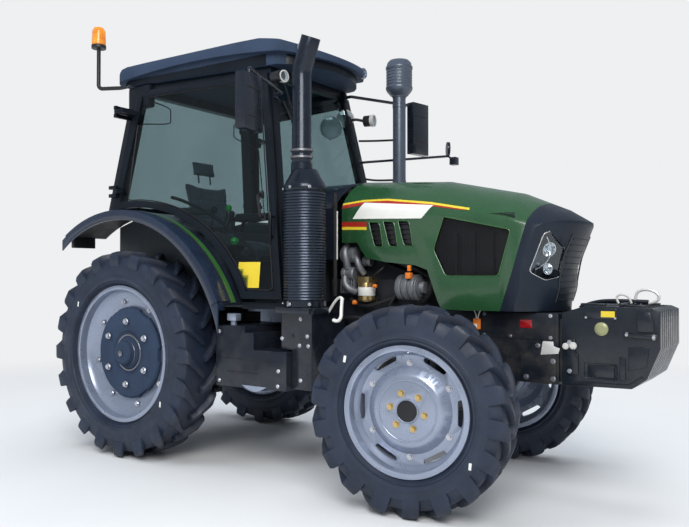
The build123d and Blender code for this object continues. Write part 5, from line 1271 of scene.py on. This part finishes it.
def make_fender_trim():
    """Rounded covers over the fenders' outer edges, with a bead, a dark liner and a green strip."""
    for name, finish, slot, rear, front, profile in (
            ("fender_liners", rubber_trim, "cab_black", FENDER_REAR + 0.002, 0.900, (
                (-0.0084, 0.520), (-0.0084, 0.796), (-0.0100, 0.796), (-0.0100, 0.520))),
            ("fender_strips", green_edge, "green_paint", FENDER_REAR + 0.016, 0.926, (
                (0.0006, 0.690), (0.0034, 0.692), (0.0040, 0.698), (0.0040, 0.728), (0.0034, 0.732), (0.0006, 0.7325))),
            # The covers' bluish black is a painted sky reflection on black plastic.
            ("fender_covers", lip_black_painted_reflection, "body_black", FENDER_REAR, 0.922, (
                (0.0006, 0.742), (0.0050, 0.745), (0.0080, 0.752), (0.0080, 0.800), (0.0065, 0.842), (0.0030, 0.853),
                (-0.012, 0.857), (-0.040, 0.857), (-0.052, 0.854), (-0.052, 0.8505), (-0.0004, 0.8505), (0.0006,
                    0.800))),
            ("fender_beads", rubber_trim, "cab_black", FENDER_REAR, 0.922, (
                (0.0006, 0.733), (0.0050, 0.734), (0.0060, 0.737), (0.0050, 0.740), (0.0006, 0.741)))):
        bm = bmesh.new()
        for side in BOTH:
            arch_band(bm, side, profile, rear, front)
        keep(bm, name, finish, "chassis")


def cab_half(x, z):
    """Half the cab's width at a distance forward and a height: it narrows forwards and upwards."""
    return 0.956 - 0.139 * x - 0.1464 * z


def roof_outline(inset):
    """The roof's plan from the front round its right side: widest at the front corners, bowed across the front."""
    corner, tip = 1.080 - inset, 1.262 - inset
    rear = -0.290 + inset

    def half(x):
        return cab_half(x, 2.540) + 0.042 - inset

    points = [(rear, half(rear) - 0.010 - 0.06), (rear + 0.02, half(rear) - 0.010 - 0.02),
        (rear + 0.07, half(rear) - 0.010)]
    points += [(corner - 0.09, half(corner) + 0.004), (corner - 0.02, half(corner) - 0.010)]
    y0 = half(corner)
    for k in range(1, 8):
        y = y0 * (1 - k / 7)
        points.append((corner + (tip - corner) * (1 - (y / y0) ** 2), y))
    return points


def make_roof_trim():
    """The dark gutter round the roof's foot, and the two round lamps set in the roof's front edge."""
    bm = bmesh.new()
    foot = 2.541
    for side in BOTH:
        part = bmesh.new()
        rings = []
        for x, y in roof_outline(0.043):
            high = 2.588 + 0.040 * (1 - ((x - 0.465) / 0.80) ** 2) - (0.030 if x < -0.15 else 0.0)
            outer = x + (0.004 if x > 0.5 else -0.004)
            rings.append([part.verts.new(at(*corner)) for corner in (
                (x, side * y, foot), (outer, side * (y + 0.006), foot), (outer, side * (y + 0.006), high),
                (x, side * y, high))])
        bridge(part, rings)
        absorb(bm, part)
    keep(bm, "roof_gutter", cab_black, "chassis")
    ring, glass, bulb = bmesh.new(), bmesh.new(), bmesh.new()
    r = 0.0295
    for side in BOTH:
        add_forms(
            placed(at(1.166, side * 0.350, 2.634), ("Y", 90)),
            (ring, 36, (
                (r, -0.010), (r + 0.008, -0.008), (r + 0.010, 0.004), (r + 0.006, 0.012), (r - 0.002, 0.011),
                (r - 0.003, 0.002), (r, -0.010))),
            (bulb, 32, (
                (0.0, 0.0015), (r * 0.5, 0.002), (r * 0.85, 0.005), (r * 0.95, 0.007), (r * 0.95, 0.0008),
                (0.0, 0.0008))),
            (glass, 32, (
                (0.0, 0.015), (r * 0.6, 0.0135), (r - 0.001, 0.009), (r - 0.001, 0.0075), (r * 0.6, 0.012),
                (0.0, 0.0135))))
    keep(ring, "roof_lamp_rings", rim_silver, "chassis")
    keep(bulb, "roof_lamp_bowls", chrome, "chassis")
    keep(glass, "roof_lamp_lenses", clear_lens, "chassis")


def make_door_hardware():
    """Each door's seal, handle and inner rail, on that door's own body."""
    for side_name, side in SIDES:
        body = "door_" + side_name
        pane = searcher("door_glass_" + side_name)
        frame_skin = searcher(body)

        def on(x, z, out=0.0, skin=pane):
            hit, _ = met(skin, at(x, 0, z), side, 1.4)
            return (hit or at(x, side * cab_half(x, z), z)) + Vector((0, side * out, 0))

        bm = bmesh.new()
        cx, cz, radius = FENDER_ARCH
        reach = radius + 0.083
        a0, a1 = math.asin((1.116 - cz) / reach), math.acos((-0.050 - cx) / reach)
        angles = [a0 + (a1 - a0) * k / 12 for k in range(13)]
        arch = [(cx + reach * math.cos(a), cz + reach * math.sin(a)) for a in angles]
        seal = ((-0.064, 1.730), (-0.060, 2.420), (0.000, 2.440), (0.860, 2.440), (0.925, 2.400), (1.160, 1.130),
                (1.140, 1.114), *arch)
        rim_on(bm, pane, seal, side, 0.0042, 0.001)
        keep(bm, "door_seal_" + side_name, rubber_trim, body)
        bm = bmesh.new()
        foot, top = on(1.055, 1.560, 0.002, frame_skin), on(1.020, 1.700, 0.002, frame_skin)
        lift, bend = Vector((0, side * 0.034, 0)), Vector((-0.004, 0, 0.030))
        add_tube(bm, [foot, foot + lift, foot + lift + bend, top + lift - bend, top + lift, top], 0.009, 12)
        for end in (foot, top):
            add_box(bm, end - Vector((0.018, 0.004, 0.022)), end + Vector((0.018, 0.010, 0.022)), 0.004)
        keep(bm, "door_handle_" + side_name, plastic_black, body)
        bm = bmesh.new()
        inner = [on(x, z, -0.060) for x, z in ((1.02, 1.30), (0.80, 1.47), (0.56, 1.62), (0.30, 1.72))]
        add_tube(bm, [on(1.02, 1.30, -0.012)] + inner + [on(0.30, 1.72, -0.012)], 0.011, 12)
        keep(bm, "door_rail_" + side_name, plastic_black, body)
        if side < 0:
            bm = bmesh.new()
            patch_on(bm, pane, ((0.905, 1.128), (1.062, 1.128), (1.056, 1.285), (0.899, 1.285)), side, 0.0012, 0.06)
            keep_mesh(mesh_of(bm, "blank_sticker"), "blank_sticker", yellow_film, body)


def make_mirror_faces():
    """The mirrors' glass, a rim round it, and two ribs on the back of each shell."""
    bm, rims = bmesh.new(), bmesh.new()
    face, wide, rounding = -0.0298, 0.088, 0.0015
    for side, z, tall in ((-1, 2.162, 0.312), (1, 2.320, 0.390)):
        turn = placed(at(1.272, side * 0.955, z), ("Z", -side * 10))
        half = tall / 2
        add_box(bm, (face - 0.0024, -0.078, 0.014 - half), (face, 0.078, half - 0.014), 0.001, turn)
        for k in (-1, 1):
            low, high = sorted((k * (half - 0.012), k * (half - 0.002)))
            add_box(rims, (-0.035, -wide, low), (face, wide, high), rounding, turn)
            low, high = sorted((k * 0.079, k * wide))
            add_box(rims, (-0.035, low, 0.002 - half), (face, high, half - 0.002), rounding, turn)
            rib = k * tall / 4
            add_box(rims, (0.0295, -0.060, rib - 0.004), (0.033, 0.060, rib + 0.004), rounding, turn)
    keep(bm, "mirror_faces", mirror_glass, "chassis")
    keep(rims, "mirror_rims", rubber_trim, "chassis")


def screen_x(z):
    """How far forward the cab's front stands at a height."""
    return 1.250 - 0.185 * (z - 1.040)


def make_work_lamps():
    """Bright lenses on the pillar lamps, and two round lamps behind the windscreen's left corner."""
    ring, glass, bowl = (bmesh.new() for _ in range(3))
    for side, z, r in ((-1, 2.436, 0.034), (1, 2.330, 0.040)):
        front = screen_x(z)
        place = at(front + 0.136, side * (cab_half(front, z) + 0.0315) + 0.012, z)
        add_forms(
            placed(place, ("Z", 10 * side), ("Y", 90)),
            (ring, 36, (
                (r, -0.020), (r + 0.004, -0.018), (r + 0.004, 0.006), (r - 0.004, 0.008), (r - 0.004, 0.0),
                (r, -0.020))),
            (bowl, 32, ((0.0, 0.0012), (r * 0.5, 0.0016), (r - 0.005, 0.004), (r - 0.005, 0.0006), (0.0, 0.0006))),
            (glass, 32, (
                (0.0, 0.010), (r * 0.6, 0.009), (r - 0.005, 0.0055), (r - 0.005, 0.0045), (r * 0.6, 0.0078),
                (0.0, 0.0088))))
    for place, r in ((at(0.975, 0.405, 2.345), 0.060), (at(0.930, 0.290, 2.265), 0.078)):
        turn = placed(place, ("Z", -48), ("Y", 98))
        add_forms(
            turn,
            (ring, 40, (
                (0.0, -0.075), (r * 0.45, -0.070), (r * 0.86, -0.040), (r, -0.006), (r + 0.004, 0.0),
                (r + 0.004, 0.010), (r - 0.004, 0.012), (r - 0.005, 0.004), (0.0, 0.002))),
            (bowl, 36, (
                (0.0, 0.0026), (r * 0.35, 0.004), (r * 0.7, 0.0075), (r - 0.006, 0.010), (r - 0.006, 0.0022),
                (0.0, 0.0022))),
            (glass, 36, (
                (0.0, 0.020), (r * 0.6, 0.017), (r - 0.005, 0.0125), (r - 0.005, 0.0112), (r * 0.6, 0.0155),
                (0.0, 0.0185))))
        arm = ((0, 0, -0.045), (0.050, 0.0, -0.050), (0.085, 0.0, -0.040))
        add_tube(ring, [turn @ Vector(point) for point in arm], 0.008, 10)
    keep(ring, "work_lamp_cups", pale_metal, "chassis", 40)
    keep(bowl, "work_lamp_bowls", pale_metal, "chassis")
    keep(glass, "work_lamp_lenses", clear_lens, "chassis")


def make_cab_fittings():
    """Wiper, blocks at the cab's rear corners, the mast's stays, and the hose and rod beside the cowl."""
    bm = bmesh.new()

    def on_screen(y, z, out):
        return at(screen_x(z) - 0.020 + out, y, z)

    for radius, *arm in (
            (0.006, (-0.300, 2.470, 0.010), (-0.270, 2.300, 0.020), (-0.220, 2.120, 0.014)),
            (0.0065, (-0.330, 2.330, 0.008), (-0.225, 2.110, 0.010), (-0.130, 1.900, 0.008))):
        add_tube(bm, [on_screen(*place) for place in arm], radius, 10)
    add_box(bm, on_screen(-0.330, 2.462, 0.004), on_screen(-0.270, 2.462, 0.030) + Vector((0, 0, 0.034)), 0.005)
    keep(bm, "wiper", plastic_black, "chassis")
    bm = bmesh.new()
    for side in BOTH:
        half = cab_half(-0.100, 2.46) - 0.012
        add_block(bm, (-0.205, half - 0.060, 2.372), (0.020, half, 2.532), 0.018, side)
        half = cab_half(-0.080, 1.75) - 0.030
        add_block(bm, (-0.232, half - 0.036, 1.676), (-0.168, half, 1.830), 0.010, side)
        for z in (1.72, 1.79):
            add_tube(bm, path((-0.236, side * (half - 0.018), z), (-0.262, side * (half - 0.018), z)), 0.010, 12)
    keep(bm, "corner_blocks", cab_black, "chassis")
    bm = bmesh.new()
    for y, sag in ((0.350, 0.010), (0.420, 0.018)):
        add_pipes(bm, 10, (
            0.009, (1.139, y, 1.655), (1.200, y + 0.030, 1.690), (1.255, y + 0.080, 1.640 - sag), (1.320, 0.520,
                1.580)))
    add_pipes(
        bm, 10,
        (0.008, (1.110, 0.470, 1.900), (1.160, 0.500, 1.890), (1.240, 0.530, 1.888), (1.300, 0.548, 1.888)),
        (0.008, (1.060, 0.455, 2.180), (1.130, 0.490, 2.178), (1.230, 0.525, 2.176), (1.300, 0.548, 2.176)))
    keep(bm, "mast_stays", rubber_trim, "chassis")
    bm = bmesh.new()
    add_pipes(bm, 12, (0.012, (1.438, -0.368, 1.700), (1.446, -0.378, 1.560), (1.446, -0.378, 1.260),
        (1.440, -0.372, 1.080)))
    for z in (1.610, 1.140):
        add_block(bm, (1.425, -0.386, z), (1.452, -0.362, z + 0.040), 0.003)
    keep(bm, "cowl_hose", rubber_trim, "chassis")
    bm = bmesh.new()
    add_pipes(bm, 8, (0.004, (1.456, -0.372, 1.590), (1.458, -0.376, 1.480), (1.458, -0.376, 1.300)))
    keep(bm, "cowl_rod", white_paint, "chassis")


def make_interior():
    """Side consoles, levers with knobs, pedals, and the instrument hood with its gauges."""
    grey, dark, knobs, green = (bmesh.new() for _ in range(4))
    console = ((-0.190, 1.340), (0.560, 1.340), (0.640, 1.400), (0.600, 1.475), (0.300, 1.520), (-0.190, 1.560))
    arm_rest = ((0.000, 1.640), (0.340, 1.625), (0.370, 1.650), (0.350, 1.680), (0.000, 1.690))
    for side in BOTH:
        y = side * 0.310
        add_plate(grey, side, console, 0.270, 0.455, 0.020)
        add_plate(grey, side, arm_rest, 0.275, 0.345, 0.016)
        add_pipes(dark, 12, (0.016, (0.040, y, 1.530), (0.050, y, 1.600), (0.090, y, 1.650)))
    knob = ((0.0, -0.024), (0.013, -0.022), (0.021, -0.004), (0.021, 0.010), (0.013, 0.022), (0.0, 0.025))
    boot = ((0.0, 0.0), (0.034, 0.0), (0.026, 0.014), (0.014, 0.026), (0.0, 0.028))
    for top, x, y, z, lean, tall in (
            (green, 0.470, -0.330, 1.490, 0.050, 0.170), (knobs, 0.400, -0.380, 1.500, 0.035, 0.150),
            (knobs, 0.540, -0.385, 1.470, 0.060, 0.140), (knobs, 0.430, 0.345, 1.500, 0.040, 0.160),
            (knobs, 0.700, -0.150, 1.050, 0.120, 0.420), (knobs, 0.760, 0.165, 1.050, 0.100, 0.380)):
        add_pipes(dark, 10, (0.0065, (x, y, z), (x + lean * 0.3, y, z + tall * 0.5), (x + lean, y, z + tall)))
        add_forms(placed(at(x + lean, y, z + tall)), (top, 20, knob))
        add_forms(placed(at(x, y, z - 0.002)), (dark, 20, boot))
    add_forms(placed(at(0.640, -0.400, 1.430)), (green, 20, (
        (0.0, -0.026), (0.022, -0.022), (0.030, 0.0), (0.022, 0.022), (0.0, 0.026))))
    for y in (-0.160, -0.075, 0.110):
        add_block(dark, (0.965, y - 0.030, 1.090), (0.985, y + 0.030, 1.160), 0.004)
        add_pipes(dark, 10, (0.008, (0.980, y, 1.125), (1.020, y, 1.180), (1.030, y, 1.260)))
    hood = ((0.965, 1.632), (1.060, 1.668), (1.090, 1.700), (1.020, 1.735), (0.950, 1.700))
    add_plate(dark, 1, hood, -0.180, 0.180, 0.012)
    keep(grey, "side_consoles", plastic_grey, "chassis")
    keep(dark, "cab_controls", plastic_black, "chassis")
    keep(knobs, "lever_knobs", plastic_black, "chassis")
    keep(green, "lever_knobs_green", green_knob, "chassis")
    bm = bmesh.new()
    add_block(bm, (0.952, -0.130, 1.690), (0.957, 0.130, 1.694), 0.0)
    for k in (-1, 1):
        add_forms(placed(at(0.968, k * 0.075, 1.716), ("Y", -58)), (bm, 28, (
            (0.0, 0.0), (0.042, 0.0), (0.044, 0.004), (0.0, 0.005))))
    keep(bm, "gauge_faces", white_paint, "chassis")


make_fender_trim()
make_roof_trim()
make_door_hardware()
make_mirror_faces()
make_work_lamps()
make_cab_fittings()
make_interior()


# ------------------------------------------------------------------ seat
SWELL_FRAMES = 20
LONGEST_SWELL = 0.022


def pad_block(size, crown, rounding):
    """A cushion's first form: a rounded block, crowned on top, with its sides drawn in between the corners."""
    bm = bmesh.new()
    lx, ly, lz = size
    waist = 0.05
    bmesh.ops.create_cube(bm, size=1.0)
    bmesh.ops.subdivide_edges(bm, edges=bm.edges, cuts=9, use_grid_fill=True)
    for vert in bm.verts:
        u, v, w = vert.co * 2
        x, y = u * lx / 2 * (1 - waist * (1 - v * v)), v * ly / 2 * (1 - waist * (1 - u * u) * abs(v))
        z = w * lz / 2 + (crown * (1 - u * u) * (1 - v * v) if w > 0 else 0.0)
        corner = rounding * max(abs(u), abs(v)) ** 6 * abs(w) ** 2
        vert.co = (x * (1 - corner), y * (1 - corner), z * (1 - 0.8 * corner))
    return bm


def sewn(mesh, lines, depth):
    """Presses sewn channels into a pad's face along lines of (axis, place on it)."""
    width = 0.007
    for vert in mesh.vertices:
        for axis, place in lines:
            gap = (vert.co[axis] - place) / width
            if abs(gap) < 3 and vert.normal.z > 0.2:
                vert.co.z -= depth * math.exp(-gap * gap)


def swollen(name, start):
    """A pad's form blown up a little as cloth, with the way that each point goes kept short."""
    still = [vert.co.copy() for vert in start.vertices]
    piece = linked(name, start)
    run = piece.modifiers.new("cloth", "CLOTH")
    run.settings.use_pressure = True
    run.settings.uniform_pressure_force = 4.0
    run.settings.effector_weights.gravity = 0.0
    run.settings.quality = 4
    run.point_cache.frame_start, run.point_cache.frame_end = 1, SWELL_FRAMES
    for number in range(1, SWELL_FRAMES + 1):
        bpy.context.scene.frame_set(number)
    made = baked(piece)
    for vert, was in zip(made.vertices, still):
        move = vert.co - was
        if move.length > LONGEST_SWELL:
            vert.co = was + move * (LONGEST_SWELL / move.length)
    bpy.context.scene.frame_set(1)
    return made


def make_pad(name, size, crown, matrix, lines, replaced=()):
    """A cushion: a block cut to even cells, swollen as cloth, sewn along lines, then made smooth."""
    piece = linked(name, mesh_of(pad_block(size, crown, 0.10), name))
    grid = piece.modifiers.new("grid", "REMESH")
    grid.mode, grid.voxel_size = "VOXEL", 0.006
    start = baked(piece)
    start = swollen(name, start)
    sewn(start, lines, 0.007)
    piece = linked(name, start)
    smooth = piece.modifiers.new("smooth", "SUBSURF")
    smooth.levels = smooth.render_levels = 1
    made = baked(piece)
    made.transform(matrix)
    piece = keep_mesh(made, name, cloth, "chassis", 60, replaced)


def tilted(foot, top):
    """A frame whose X runs up from foot to top and whose Z faces forward."""
    up = (top - foot).normalized()
    facing = up.cross(Vector((0, 1, 0)))
    if facing.x < 0:
        facing = -facing
    across = facing.cross(up)
    turn = Matrix((up, across, facing)).transposed().to_4x4()
    return Matrix.Translation((foot + top) / 2) @ turn


def make_seat():
    make_pad("seat_cushion", (0.455, 0.440, 0.070), 0.018, Matrix.Translation(at(0.262, 0, 1.385)),
             ((1, -0.130), (1, 0.130), (0, -0.115), (0, 0.030)), ("seat",))
    make_pad("seat_back", (0.405, 0.415, 0.062), 0.016, tilted(at(0.040, 0, 1.478), at(-0.046, 0, 1.905)),
             ((1, -0.120), (1, 0.120), (0, -0.080), (0, 0.060)))
    make_pad("seat_headrest", (0.100, 0.205, 0.046), 0.010, tilted(at(-0.052, 0, 1.950), at(-0.074, 0, 2.066)), ())
    bm = bmesh.new()
    add_block(bm, (0.120, -0.160, 1.0405), (0.400, 0.160, 1.080), 0.012)
    for k in range(5):
        fold, z = 0.004 * (k % 2), 1.085 + k * 0.044
        add_block(bm, (0.135 + fold, fold - 0.150, z), (0.390 - fold, 0.150 - fold, z + 0.040), 0.014)
    add_block(bm, (0.060, -0.200, 1.302), (0.460, 0.200, 1.336), 0.012)
    for side in BOTH:
        add_tube(bm, path((0.090, side * 0.225, 1.320), (0.020, side * 0.232, 1.400), (0.000, side * 0.225, 1.500)),
            0.013, 12)
        add_tube(bm, path((-0.050, side * 0.060, 1.900), (-0.054, side * 0.060, 1.950), (-0.058, side * 0.060, 1.975)),
            0.006, 10)
    keep(bm, "seat_stand", plastic_black, "chassis")


make_seat()


# ------------------------------------------------------------------ camera, light and floor
PALE = (0.86, 0.87, 0.88, 1)


def make_floor():
    """A pale floor that fades into an even haze far off."""
    finish, tree, shader = new_finish("floor", {"Roughness": 0.9})
    cloud = ramp(tree, object_noise(tree, 0.6), 0.3, (0.76, 0.77, 0.78), 0.7, (0.80, 0.81, 0.82))
    fill(tree, shader, {"Base Color": cloud})
    far_off = add_node(tree, "ShaderNodeVectorMath", {0: object_place(tree)}, operation="LENGTH")
    haze = add_node(tree, "ShaderNodeEmission", {"Color": PALE})
    faded = mix_shaders(tree, span(tree, far_off.outputs["Value"], 2.4, 7.0), shader, haze)
    fill(tree, tree.nodes["Material Output"], {"Surface": faded})
    bm = bmesh.new()
    reach, depth = 60.0, -0.001
    for i in range(4):
        a = math.tau * (i + 0.5) / 4
        bm.verts.new((math.cos(a) * reach, math.sin(a) * reach, depth))
    bm.faces.new(bm.verts)
    floor = linked("floor", mesh_of(bm, "floor"))
    floor.data.materials.append(finish)


def make_camera():
    data = bpy.data.cameras.new("camera")
    data.lens = 38.44
    data.sensor_width = 36.0
    data.clip_end = 100.0
    camera = linked("camera", data)
    camera.location = at(4.0279, -3.9854, 1.2083)
    camera.rotation_euler = (math.radians(90.8669), 0, math.radians(34.8734))
    bpy.context.scene.camera = camera


def make_lamps():
    for name, place, aimed, size, power, colour in (
            ("key", (5.0, -5.5, 5.5), (1.2, 0, 1.0), 4.0, 430.0, (1.0, 0.99, 0.97)),
            ("fill", (-2.5, -5.5, 6.5), (0.6, 0, 1.0), 4.0, 230.0, (0.90, 0.95, 1.0)),
            ("top", (1.0, 0.5, 8.0), (1.0, 0, 1.0), 7.0, 270.0, (0.92, 0.96, 1.0)),
            ("far", (2.0, 6.0, 6.0), (1.0, 0, 1.2), 4.0, 200.0, (0.92, 0.96, 1.0))):
        light = bpy.data.lights.new(name, "AREA")
        light.shape, light.size, light.energy, light.color = "SQUARE", size, power, colour
        lamp = linked(name, light)
        lamp.location = at(*place)
        lamp.visible_glossy = name == "key"
        lamp.rotation_euler = (at(*aimed) - at(*place)).to_track_quat("-Z", "Y").to_euler()


def make_world():
    """Soft sky light, with an even pale ground where the camera or the glass looks straight at it."""
    world = bpy.data.worlds.new("studio")
    world.use_nodes = True
    bpy.context.scene.world = world
    tree = world.node_tree
    sky = fill(tree, tree.nodes["Background"], {"Color": (0.80, 0.86, 0.95, 1), "Strength": 0.42})
    plain = add_node(tree, "ShaderNodeBackground", {"Color": PALE, "Strength": 1.0})
    ray = add_node(tree, "ShaderNodeLightPath").outputs
    seen = add_node(tree, "ShaderNodeMath", {0: ray["Is Camera Ray"], 1: ray["Is Transmission Ray"]},
        operation="MAXIMUM")
    fill(tree, tree.nodes["World Output"], {"Surface": mix_shaders(tree, seen.outputs[0], sky, plain)})


make_camera()
make_floor()
make_lamps()
make_world()
bpy.context.scene.view_settings.view_transform = "Standard"
